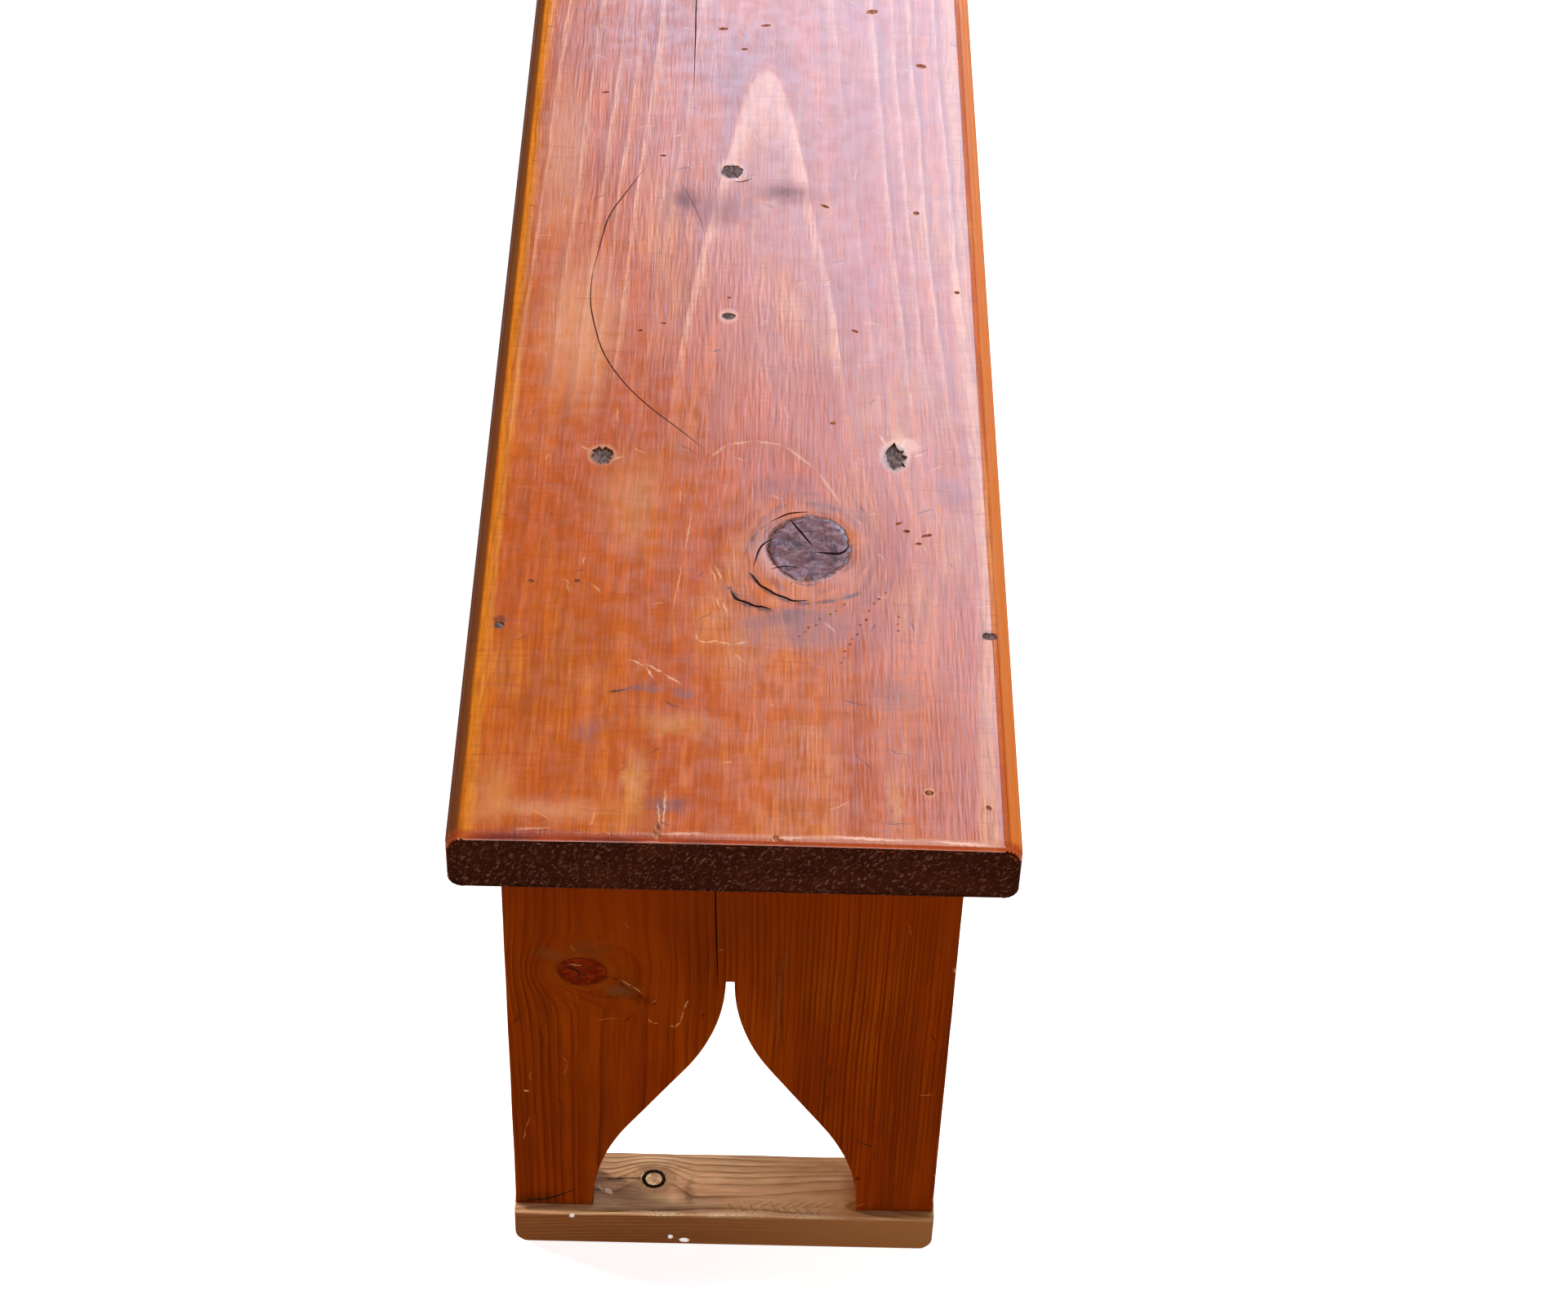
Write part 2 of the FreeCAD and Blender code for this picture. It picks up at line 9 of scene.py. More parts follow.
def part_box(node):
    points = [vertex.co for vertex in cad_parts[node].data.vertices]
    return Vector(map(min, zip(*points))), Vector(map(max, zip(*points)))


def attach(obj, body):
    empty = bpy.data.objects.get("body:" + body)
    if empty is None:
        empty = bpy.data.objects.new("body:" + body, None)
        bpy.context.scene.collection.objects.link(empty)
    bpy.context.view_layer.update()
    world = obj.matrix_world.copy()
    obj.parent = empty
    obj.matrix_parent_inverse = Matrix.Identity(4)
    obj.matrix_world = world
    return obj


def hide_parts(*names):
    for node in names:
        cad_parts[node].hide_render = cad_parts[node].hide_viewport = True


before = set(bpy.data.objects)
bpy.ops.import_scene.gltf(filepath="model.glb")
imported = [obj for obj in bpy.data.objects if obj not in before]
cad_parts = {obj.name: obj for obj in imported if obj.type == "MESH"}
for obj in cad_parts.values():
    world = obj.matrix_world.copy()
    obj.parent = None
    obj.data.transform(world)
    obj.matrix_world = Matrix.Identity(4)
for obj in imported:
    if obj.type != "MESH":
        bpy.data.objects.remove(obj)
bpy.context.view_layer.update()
mm = 0.001
seatLow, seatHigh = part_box("seat_plank")
legLow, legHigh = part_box("near_leg")
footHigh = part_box("near_foot_batten")[1]
print("frame loaded,", len(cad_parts), "nodes")


# Working in object and edit mode

def deselectAll():
    if bpy.context.object and bpy.context.object.mode == "EDIT":
        bpy.ops.object.mode_set(mode="OBJECT")
    bpy.ops.object.select_all(action="DESELECT")


def pick(piece):
    deselectAll()
    piece.select_set(True)
    bpy.context.view_layer.objects.active = piece


def startEdit(piece, kind="FACE"):
    pick(piece)
    bpy.ops.object.mode_set(mode="EDIT")
    bpy.ops.mesh.select_mode(type=kind)
    bpy.ops.mesh.select_all(action="DESELECT")


def endEdit():
    bpy.ops.object.mode_set(mode="OBJECT")


def choose(piece, kind, test):
    # Selects the verts, edges or faces that pass the test
    mesh = bmesh.from_edit_mesh(piece.data)
    for item in getattr(mesh, kind):
        item.select_set(bool(test(item)))
    mesh.select_flush_mode()
    bmesh.update_edit_mesh(piece.data)


def addBox(name, low, high):
    deselectAll()
    bpy.ops.mesh.primitive_cube_add(size=1)
    piece = bpy.context.object
    piece.name = piece.data.name = name
    bpy.ops.object.mode_set(mode="EDIT")
    bpy.ops.transform.resize(value=[b - a for a, b in zip(low, high)])
    bpy.ops.transform.translate(value=[(a + b) / 2 for a, b in zip(low, high)])
    endEdit()
    return piece


def slicePiece(piece, axis, places):
    # Cuts a new row of edges through the whole piece at each place
    startEdit(piece)
    normal = [0, 0, 0]
    normal[axis] = 1
    for place in places:
        bpy.ops.mesh.select_all(action="SELECT")
        point = [0, 0, 0]
        point[axis] = place
        bpy.ops.mesh.bisect(plane_co=point, plane_no=normal)
    endEdit()


def between(low, high, step):
    count = max(1, round((high - low) / step))
    return [low + (high - low) * i / count for i in range(1, count)]


def roundEdges(piece, width, segments, test):
    startEdit(piece, "EDGE")
    choose(piece, "edges", test)
    bpy.ops.mesh.bevel(offset=width, segments=segments, profile=0.5, affect="EDGES")
    endEdit()


def applyModifier(piece, kind, **settings):
    pick(piece)
    modifier = piece.modifiers.new(kind.lower(), kind)
    for name, value in settings.items():
        setattr(modifier, name, value)
    bpy.ops.object.modifier_apply(modifier=modifier.name)


def joinAll(pieces, name):
    deselectAll()
    for piece in pieces:
        piece.select_set(True)
    bpy.context.view_layer.objects.active = pieces[0]
    if len(pieces) > 1:
        bpy.ops.object.join()
    pieces[0].name = pieces[0].data.name = name
    return pieces[0]


def finishWith(piece, material):
    # The piece's only material
    piece.data.materials.clear()
    piece.data.materials.append(material)


def cutAway(piece, cutter, inside=None):
    # The cut faces take the material called inside
    if inside:
        finishWith(cutter, inside)
    applyModifier(
        piece, "BOOLEAN", object=cutter, operation="DIFFERENCE", solver="MANIFOLD",
        material_mode="TRANSFER",
    )
    bpy.data.objects.remove(cutter)


def cutAll(piece, cutters, inside=None):
    # Cutters that stay clear of each other are joined, so that each batch is one cut
    batches = []
    for cutter in cutters:
        places = [v.co for v in cutter.data.vertices]
        low = [min(p[i] for p in places) - mm / 2 for i in range(3)]
        high = [max(p[i] for p in places) + mm / 2 for i in range(3)]
        meets = lambda box: all(low[i] < box[1][i] and box[0][i] < high[i] for i in range(3))
        batch = next((b for b in batches if not any(meets(box) for box in b["boxes"])), None)
        if batch is None:
            batch = {"boxes": [], "cutters": []}
            batches.append(batch)
        batch["boxes"].append((low, high))
        batch["cutters"].append(cutter)
    for batch in batches:
        cutAway(piece, joinAll(batch["cutters"], "cutters"), inside)


def weather(piece, size, strength, test, direction="NORMAL"):
    # Wears the chosen vertices inwards with soft noise; size and strength in millimetres
    group = piece.vertex_groups.new(name="worn")
    group.add([v.index for v in piece.data.vertices if test(v.co)], 1, "REPLACE")
    texture = bpy.data.textures.new("wear", "CLOUDS")
    texture.noise_scale = size * mm
    texture.noise_depth = 2
    applyModifier(
        piece, "DISPLACE", texture=texture, texture_coords="LOCAL", vertex_group="worn",
        strength=strength * mm, mid_level=1, direction=direction,
    )
    piece.vertex_groups.clear()


def smoothShade(piece, angle=35):
    pick(piece)
    bpy.ops.object.shade_smooth_by_angle(angle=math.radians(angle))


# Cutters for grooves, dents and holes; places are in millimetres on a face

def onSeat(x, y, up=0):
    # Across the bench, from the seat's near end, above the seat's top
    return Vector((x * mm, seatLow.y + y * mm, seatHigh.z + up * mm))


def onLeg(x, z, out=0):
    return Vector((x * mm, legLow.y - out * mm, z * mm))


def onFootTop(x, y, up=0):
    return Vector((x * mm, y * mm, footHigh.z + up * mm))


def settle(piece, point, outward, proud=0.1):
    # Brings a point onto the piece's worn surface, or a little proud of it
    away = Vector(outward)
    hit, place = piece.ray_cast(point + away * 10 * mm, -away)[:2]
    return (place if hit else point) + away * proud * mm


def grooveCutter(points, width, depth, normal):
    # A thin rod along the points, thinned at its ends and deepened along the face's normal
    curve = bpy.data.curves.new("groove", "CURVE")
    curve.dimensions = "3D"
    curve.bevel_depth = width * mm / 2
    curve.bevel_resolution = 1
    curve.use_fill_caps = True
    curve.resolution_u = 4
    spline = curve.splines.new("NURBS")
    spline.points.add(len(points) - 1)
    for i, point in enumerate(points):
        spline.points[i].co = (*point, 1)
        spline.points[i].radius = 0.25 if i in (0, len(points) - 1) else 1
    spline.order_u = 3
    spline.use_endpoint_u = True
    rod = bpy.data.objects.new("groove", curve)
    bpy.context.scene.collection.objects.link(rod)
    pick(rod)
    bpy.ops.object.convert(target="MESH")
    rod = bpy.context.object
    bpy.ops.object.mode_set(mode="EDIT")
    bpy.ops.mesh.select_all(action="SELECT")
    bpy.ops.mesh.remove_doubles(threshold=1e-6)
    bpy.ops.mesh.normals_make_consistent(inside=False)
    endEdit()
    centre = points[0]
    deeper = Matrix.Scale(2 * depth / width, 4, Vector(normal))
    rod.data.transform(Matrix.Translation(centre) @ deeper @ Matrix.Translation(-centre))
    return rod


def dentCutter(place, size, turn=0):
    # An egg pressed into the face: half sizes in millimetres, turned about the vertical
    deselectAll()
    bpy.ops.mesh.primitive_ico_sphere_add(subdivisions=2, radius=mm)
    egg = bpy.context.object
    turned = Matrix.Rotation(math.radians(turn), 4, "Z")
    egg.data.transform(Matrix.Translation(place) @ turned @ Matrix.Diagonal((*size, 1)))
    return egg


def holeCutter(place, radius, stretch, seed, look):
    # A drilled or torn hole going down from the face, narrower below where it is torn
    sides, ragged = look["sides"], look["ragged"]
    deselectAll()
    bpy.ops.mesh.primitive_cylinder_add(vertices=sides, radius=1, depth=2)
    hole = bpy.context.object
    draw = random.Random(seed)
    scales = [1 + ragged * (draw.random() - 0.5) for i in range(sides)]
    for vertex in hole.data.vertices:
        corner = round(math.atan2(vertex.co.y, vertex.co.x) / (2 * math.pi) * sides) % sides
        taper = 1 if vertex.co.z > 0 else 1 - 0.3 * ragged
        vertex.co.x *= radius * mm * scales[corner] * taper
        vertex.co.y *= radius * mm * scales[corner] * taper * stretch
        vertex.co.z *= look["depth"] * mm
    hole.data.transform(Matrix.Translation(place))
    return hole


# Node helpers

def plug(tree, socket, value):
    if isinstance(value, bpy.types.NodeSocket):
        tree.links.new(value, socket)
    else:
        socket.default_value = value


def calc(tree, operation, *values):
    made = tree.nodes.new("ShaderNodeMath")
    made.operation = operation
    for socket, value in zip(made.inputs, values):
        plug(tree, socket, value)
    return made.outputs[0]


def vectorCalc(tree, operation, a, b=None, scale=None):
    made = tree.nodes.new("ShaderNodeVectorMath")
    made.operation = operation
    plug(tree, made.inputs[0], a)
    if b is not None:
        plug(tree, made.inputs[1], b)
    if scale is not None:
        plug(tree, made.inputs["Scale"], scale)
    return made.outputs["Value"] if operation in ("LENGTH", "DISTANCE") else made.outputs[0]


def fade(tree, value, start, end, low=0.0, high=1.0, kind="SMOOTHSTEP"):
    # From low at start to high at end
    made = tree.nodes.new("ShaderNodeMapRange")
    made.interpolation_type = kind
    for socket, item in zip(made.inputs, (value, start, end, low, high)):
        plug(tree, socket, item)
    return made.outputs[0]


def remap(tree, place, location=(0, 0, 0), rotation=(0, 0, 0), scale=(1, 1, 1), kind="POINT"):
    made = tree.nodes.new("ShaderNodeMapping")
    made.vector_type = kind
    plug(tree, made.inputs["Vector"], place)
    made.inputs["Location"].default_value = location
    made.inputs["Rotation"].default_value = rotation
    made.inputs["Scale"].default_value = scale
    return made.outputs[0]


def noiseOn(tree, place, scale=(1, 1, 1), detail=2.0, roughness=0.5, distortion=0.0, color=False):
    made = tree.nodes.new("ShaderNodeTexNoise")
    plug(tree, made.inputs["Vector"], remap(tree, place, scale=scale))
    made.inputs["Scale"].default_value = 1.0
    made.inputs["Detail"].default_value = detail
    made.inputs["Roughness"].default_value = roughness
    made.inputs["Distortion"].default_value = distortion
    return made.outputs["Color" if color else "Fac"]


def blend(tree, factor, a, b):
    made = tree.nodes.new("ShaderNodeMix")
    made.data_type = "RGBA"
    plug(tree, made.inputs["Factor"], factor)
    for socket, value in ((made.inputs[6], a), (made.inputs[7], b)):
        plug(tree, socket, value if isinstance(value, bpy.types.NodeSocket) else (*value, 1))
    return made.outputs[2]


def ramp(tree, value, stops):
    made = tree.nodes.new("ShaderNodeValToRGB")
    plug(tree, made.inputs[0], value)
    elements = made.color_ramp.elements
    while len(elements) < len(stops):
        elements.new(0.5)
    for element, (place, level) in zip(elements, stops):
        element.position = place
        element.color = (level, level, level, 1)
    return made.outputs[0]


def curveOf(tree, value, points):
    # A smooth curve through the points, both scaled to 0..1
    made = tree.nodes.new("ShaderNodeFloatCurve")
    plug(tree, made.inputs["Value"], value)
    curve = made.mapping.curves[0]
    curve.points[0].location = points[0]
    curve.points[1].location = points[-1]
    for point in points[1:-1]:
        curve.points.new(*point)
    made.mapping.update()
    return made.outputs[0]


def swizzle(tree, place, order):
    parts = tree.nodes.new("ShaderNodeSeparateXYZ")
    plug(tree, parts.inputs[0], place)
    made = tree.nodes.new("ShaderNodeCombineXYZ")
    for socket, axis in zip(made.inputs, order):
        plug(tree, socket, parts.outputs["XYZ".index(axis)])
    return made.outputs[0]


def partOf(tree, place, axis):
    parts = tree.nodes.new("ShaderNodeSeparateXYZ")
    plug(tree, parts.inputs[0], place)
    return parts.outputs[axis]


def bumpFrom(tree, shader, height, distance):
    bump = tree.nodes.new("ShaderNodeBump")
    bump.inputs["Distance"].default_value = distance
    plug(tree, bump.inputs["Height"], height)
    plug(tree, shader.inputs["Normal"], bump.outputs[0])


def newMaterial(name):
    # With the place on the piece in millimetres
    material = bpy.data.materials.new(name)
    material.use_nodes = True
    tree = material.node_tree
    shader = tree.nodes["Principled BSDF"]
    source = tree.nodes.new("ShaderNodeTexCoord")
    place = vectorCalc(tree, "SCALE", source.outputs["Object"], scale=1 / mm)
    return material, tree, shader, place


def spotsOn(tree, place, spots, reach=6.0):
    # Largest of many soft ellipses: across, along, depth, half sizes, turn, softness, strength
    mask = None
    for across, along, depth, halfAcross, halfAlong, turn, soft, strength in spots:
        # One node for each spot, as a shader holds only so many vectors at once
        ball = tree.nodes.new("ShaderNodeTexGradient")
        ball.gradient_type = "SPHERICAL"
        ball.texture_mapping.vector_type = "TEXTURE"
        ball.texture_mapping.translation = (across, along, depth)
        ball.texture_mapping.rotation = (0, 0, math.radians(turn))
        ball.texture_mapping.scale = (halfAcross, halfAlong, reach)
        plug(tree, ball.inputs[0], place)
        spot = fade(tree, ball.outputs["Fac"], 0.0, soft, 0.0, strength)
        mask = spot if mask is None else calc(tree, "MAXIMUM", mask, spot)
    return mask


def scratchesOn(tree, place, look):
    # One short scratch at random in each cell of a Voronoi pattern, measured in cells
    size = look["cell"]
    width = look["width"] / size
    cells = tree.nodes.new("ShaderNodeTexVoronoi")
    cells.inputs["Scale"].default_value = 1.0
    spread = remap(tree, place, (*look["shift"], 0), scale=(1 / size, 1 / size, 0.02))
    plug(tree, cells.inputs["Vector"], spread)
    away = vectorCalc(tree, "SUBTRACT", spread, cells.outputs["Position"])
    turned = tree.nodes.new("ShaderNodeVectorRotate")
    turned.rotation_type = "Z_AXIS"
    plug(tree, turned.inputs["Vector"], away)
    chance = cells.outputs["Color"]
    plug(tree, turned.inputs["Angle"], calc(tree, "MULTIPLY", partOf(tree, chance, 0), look["turn"]))
    run = calc(tree, "ABSOLUTE", partOf(tree, turned.outputs[0], 0))
    offset = calc(tree, "ABSOLUTE", partOf(tree, turned.outputs[0], 1))
    reach = calc(tree, "MULTIPLY_ADD", partOf(tree, chance, 2), look["long"] / size, look["short"] / size)
    mask = fade(tree, calc(tree, "DIVIDE", run, reach), 1.0, 0.4)
    mask = calc(tree, "MULTIPLY", mask, fade(tree, offset, width, 0.2 * width))
    kept = fade(tree, partOf(tree, chance, 1), look["share"], look["share"] - 0.1, 0.0, look["strength"])
    return calc(tree, "MULTIPLY", mask, kept)


def strokes(points, width, depth, strength=1.0, soft=0.6):
    # Spots end to end along a line of points, each a little longer than its stretch
    made = []
    for (x1, y1), (x2, y2) in zip(points, points[1:]):
        long = math.hypot(x2 - x1, y2 - y1)
        turn = math.degrees(math.atan2(y2 - y1, x2 - x1))
        made.append(((x1 + x2) / 2, (y1 + y2) / 2, depth, long * 0.58, width / 2, turn, soft, strength))
    return made


def bendRound(tree, grain, across, knot):
    # Pushes the grain out round a knot, and gives how far off the knot is in its own sizes
    middle, size = (knot["across"], knot["along"], 0), (knot["wide"], knot["long"], 1e4)
    local = remap(tree, grain, middle, scale=size, kind="TEXTURE")
    far = calc(tree, "MAXIMUM", vectorCalc(tree, "LENGTH", local), 1.0)
    push = calc(tree, "DIVIDE", knot["push"], calc(tree, "MULTIPLY", far, far))
    push = calc(tree, "SUBTRACT", 1.0, push)
    off = calc(tree, "SUBTRACT", across, knot["across"])
    return calc(tree, "MULTIPLY_ADD", off, push, knot["across"]), far


def ringField(tree, grain, wood):
    # Distance from the tree's pith, bent by noise and round the knots, all in millimetres
    slow = noiseOn(tree, grain, wood["slowScale"], 1.0, color=True)
    quick = noiseOn(tree, grain, wood["quickScale"], 2.0)
    sway = calc(tree, "SUBTRACT", partOf(tree, slow, 0), 0.5)
    across = calc(tree, "MULTIPLY_ADD", sway, wood["slowSway"], partOf(tree, grain, 0))
    sway = calc(tree, "SUBTRACT", quick, 0.5)
    across = calc(tree, "MULTIPLY_ADD", sway, wood["quickSway"], across)
    lift = 0.0
    for knot in wood["knots"]:
        across, far = bendRound(tree, grain, across, knot)
        lift = calc(tree, "ADD", lift, fade(tree, far, knot["swirl"], 0.6, 0.0, knot["lift"]))
    along = calc(tree, "MULTIPLY_ADD", partOf(tree, grain, 1), 1 / wood["length"], wood["start"])
    pithDepth = calc(tree, "MULTIPLY", curveOf(tree, along, wood["pithDepth"]), wood["pithDeepest"])
    down = calc(tree, "ADD", pithDepth, calc(tree, "SUBTRACT", wood["surface"], partOf(tree, grain, 2)))
    sideways = calc(tree, "SUBTRACT", across, wood["pithAcross"])
    square = calc(tree, "MULTIPLY", sideways, sideways)
    square = calc(tree, "ADD", square, calc(tree, "MULTIPLY", down, down))
    radius = calc(tree, "SUBTRACT", calc(tree, "SQRT", square), lift)
    warped = tree.nodes.new("ShaderNodeCombineXYZ")
    plug(tree, warped.inputs[0], across)
    plug(tree, warped.inputs[1], partOf(tree, grain, 1))
    plug(tree, warped.inputs[2], partOf(tree, grain, 2))
    return radius, warped.outputs[0]


def ringLines(tree, radius, wood):
    if "ringPlaces" not in wood:
        count = calc(tree, "DIVIDE", radius, wood["spacing"])
        wander = noiseOn(tree, count, (0.55, 0.55, 0.55), 1.0)
        count = calc(tree, "MULTIPLY_ADD", wander, 1.6, count)
        return ramp(tree, calc(tree, "FRACT", count), wood["ringProfile"])
    # Rings at known distances from the pith; a half is neither light nor dark
    low, high = wood["ringRange"]
    stops = []
    for ring, strength in wood["ringPlaces"]:
        for step, share in wood["ringShape"]:
            stops.append(((ring + step - low) / (high - low), 0.5 + strength * share))
    return ramp(tree, fade(tree, radius, low, high, kind="LINEAR"), stops)


def shiftedBy(tree, place, noise, reach):
    # Moves a place by noise, so that what reads it gets ragged edges
    moved = vectorCalc(tree, "MULTIPLY_ADD", noise, (reach, reach, 0.0))
    moved.node.inputs[2].default_value = (-reach / 2, -reach / 2, 0.0)
    return vectorCalc(tree, "ADD", place, moved)


def bareWood(tree, grain, wood):
    # Colour of the clean wood, side bands (one a painted highlight), and streaks and fibres that later layers
    # follow
    radius, warped = ringField(tree, grain, wood)
    lines = ringLines(tree, radius, wood)
    ringPlace = tree.nodes.new("ShaderNodeCombineXYZ")
    plug(tree, ringPlace.inputs[0], radius)
    plug(tree, ringPlace.inputs[1], partOf(tree, grain, 1))
    bands = noiseOn(tree, ringPlace.outputs[0], wood["bandScale"], 3.0, 0.6)
    streaks = noiseOn(tree, warped, wood["streakScale"], 3.0, 0.65)
    fibres = noiseOn(tree, warped, wood["fibreScale"], 2.0, 0.6)
    patches = noiseOn(tree, warped, wood["patchScale"], 3.0, 0.55, 0.3, color=True)
    ripple = noiseOn(tree, grain, wood["rippleScale"], 2.0, 0.5, 0.4)
    color = blend(tree, fade(tree, partOf(tree, patches, 0), 0.35, 0.65), wood["body"], wood["redder"])
    brown = fade(tree, partOf(tree, patches, 1), 0.48, 0.72, 0.0, wood["brownAmount"])
    color = blend(tree, brown, color, wood["brown"])
    pale = fade(tree, partOf(tree, patches, 2), 0.5, 0.75, 0.0, wood["paleAmount"])
    color = blend(tree, pale, color, wood["pale"])
    color = blend(tree, fade(tree, bands, 0.4, 0.72, 0.0, wood["bandAmount"]), color, wood["dark"])
    # Bands along the sides; on the seat the right one is a painted highlight
    for start, end, tint, amount in wood.get("sideBands", []):
        middle, half = (start + end) / 2, (end - start) / 2
        off = calc(tree, "ABSOLUTE", calc(tree, "SUBTRACT", partOf(tree, warped, 0), middle))
        color = blend(tree, fade(tree, off, half, half * 0.3, 0.0, amount), color, tint)
    shown = fade(tree, partOf(tree, patches, 2), 0.3, 0.6, wood["lineLow"], wood["lineHigh"])
    if "lineFade" in wood:
        shown = calc(tree, "MULTIPLY", shown, fade(tree, partOf(tree, grain, 1), *wood["lineFade"]))
        darker = calc(tree, "MULTIPLY", shown, fade(tree, lines, 0.48, 0.1, 0.0, 0.8))
        color = blend(tree, darker, color, wood["dark"])
        lines = fade(tree, lines, 0.52, 1.0)
    color = blend(tree, calc(tree, "MULTIPLY", lines, shown), color, wood["lineColor"])
    color = blend(tree, fade(tree, streaks, 0.42, 0.75, 0.0, wood["streakAmount"]), color, wood["dark"])
    color = blend(tree, fade(tree, streaks, 0.48, 0.22, 0.0, wood["lightStreak"]), color, wood["pale"])
    color = blend(tree, fade(tree, fibres, 0.42, 0.66, 0.0, wood["fibreAmount"]), color, wood["dark"])
    color = blend(tree, fade(tree, ripple, 0.45, 0.75, 0.0, wood["rippleAmount"]), color, wood["dark"])
    return color, streaks, fibres


def boardWood(name, wood):
    # Planed pine; the grain vector is across, along and depth
    material, tree, shader, place = newMaterial(name)
    grain = swizzle(tree, place, wood["axes"])
    color, streaks, fibres = bareWood(tree, grain, wood)
    fine = noiseOn(tree, place, (0.5, 0.5, 0.5), 1.0, color=True)
    coarse = noiseOn(tree, place, (0.08, 0.08, 0.08), 3.0, 0.6, color=True)
    crisp = shiftedBy(tree, grain, fine, 2.0)
    smudgy = shiftedBy(tree, shiftedBy(tree, grain, coarse, 16.0), fine, 4.0)
    height = noiseOn(tree, grain, wood["fibreScale"], 1.0)
    height = calc(tree, "MULTIPLY", height, wood["fibreHeight"])
    wave = noiseOn(tree, grain, (0.02, 0.011, 0.02), 1.0)
    height = calc(tree, "MULTIPLY_ADD", wave, wood["waveHeight"], height)
    gloss = fade(tree, partOf(tree, coarse, 1), 0.35, 0.65, wood["roughLow"], wood["roughHigh"])
    for knot in wood["knots"]:
        color, height, inside = paintKnot(tree, crisp, knot, color, height)
        gloss = calc(tree, "MULTIPLY_ADD", inside, 0.12, gloss)
    for mark in wood["marks"]:
        where = smudgy if mark["smeared"] else crisp
        mask = spotsOn(tree, where, mark["spots"])
        if mark["smeared"]:
            mask = calc(tree, "MULTIPLY", mask, fade(tree, streaks, 0.25, 0.6, 0.45, 1.0))
        color = blend(tree, mask, color, mark["color"])
        if "rough" in mark:
            gloss = calc(tree, "MULTIPLY_ADD", mask, mark["rough"], gloss)
    bowed = shiftedBy(tree, grain, coarse, 7.0)
    for scratch in wood["scratches"]:
        mask = scratchesOn(tree, bowed, scratch)
        color = blend(tree, mask, color, scratch["color"])
        height = calc(tree, "MULTIPLY_ADD", mask, scratch["height"], height)
    # Colours fading in along one axis: painted shade and light on some faces, the wood's own tint on others
    for axis, start, end, tint, amount in wood["shades"]:
        side = partOf(tree, grain, axis)
        if axis == 1 and start > 0:
            side = calc(tree, "ABSOLUTE", side)  # a shade past the middle lies at both ends
        side = calc(tree, "MULTIPLY_ADD", fibres, 1.5, side)
        color = blend(tree, fade(tree, side, start, end, 0.0, amount), color, tint)
    # Spots over all else: dark red patches and a painted highlight on the seat's near arris, white paint on
    # the foot
    for mark in wood["paint"]:
        color = blend(tree, spotsOn(tree, crisp, mark["spots"], mark["reach"]), color, mark["color"])
    plug(tree, shader.inputs["Base Color"], color)
    plug(tree, shader.inputs["Roughness"], gloss)
    shader.inputs["IOR"].default_value = 1.5
    shader.inputs["Specular IOR Level"].default_value = wood["specular"]
    bumpFrom(tree, shader, height, mm)
    return material


def paintKnot(tree, crisp, knot, color, height):
    # Rings squeezed round the knot, then the knot itself with its own streaks and a dark outline
    wobble = noiseOn(tree, crisp, (0.04, 0.04, 0.0), 2.0, color=True)
    local = remap(
        tree, shiftedBy(tree, crisp, wobble, knot["wobble"]),
        (knot["across"], knot["along"], knot["surface"]),
        scale=(knot["wide"], knot["long"], 60.0), kind="TEXTURE",
    )
    far = vectorCalc(tree, "LENGTH", local)
    halo = calc(tree, "MINIMUM", fade(tree, far, knot["haloReach"], 1.15), fade(tree, far, 0.9, 1.0))
    color = blend(tree, calc(tree, "MULTIPLY", halo, knot["haloAmount"]), color, knot["haloColor"])
    squeezed = ramp(tree, fade(tree, far, 1.0, 3.0, kind="LINEAR"), knot["rings"])
    broken = noiseOn(tree, local, (0.9, 0.9, 0.2), 2.0)
    squeezed = calc(tree, "MULTIPLY", squeezed, fade(tree, broken, 0.42, 0.6))
    color = blend(tree, squeezed, color, knot["ringColor"])
    streaks = noiseOn(tree, local, knot["streakScale"], 4.0, 0.65, 0.6)
    mottle = noiseOn(tree, local, (2.6, 2.6, 0.2), 4.0, 0.65, 0.3)
    core = blend(tree, fade(tree, streaks, 0.42, 0.6), knot["coreColor"], knot["coreLight"])
    core = blend(tree, fade(tree, mottle, 0.46, 0.62, 0.0, 0.8), core, knot["coreDark"])
    color = blend(tree, fade(tree, far, 1.02, 0.95), color, core)
    outline = calc(tree, "MINIMUM", fade(tree, far, 1.08, 1.02), fade(tree, far, 0.93, 1.0))
    color = blend(tree, calc(tree, "MULTIPLY", outline, knot["outline"]), color, knot["outlineColor"])
    inside = fade(tree, far, 1.0, 0.9)
    raised = calc(tree, "MULTIPLY", inside, streaks)
    return color, calc(tree, "MULTIPLY_ADD", raised, knot["height"], height), inside


def darkInside(name, color, light, rough=0.75):
    # The inside of a crack, a hole or a dent
    material, tree, shader, place = newMaterial(name)
    grey = noiseOn(tree, place, (0.8, 0.3, 0.8), 2.0, 0.6)
    plug(tree, shader.inputs["Base Color"], blend(tree, fade(tree, grey, 0.35, 0.65), color, light))
    plug(tree, shader.inputs["Roughness"], fade(tree, grey, 0.3, 0.7, rough - 0.1, rough))
    shader.inputs["Specular IOR Level"].default_value = 0.1
    return material


# The seat: one thick plank with rounded long edges, rough ends, old holes, a knot and many dents

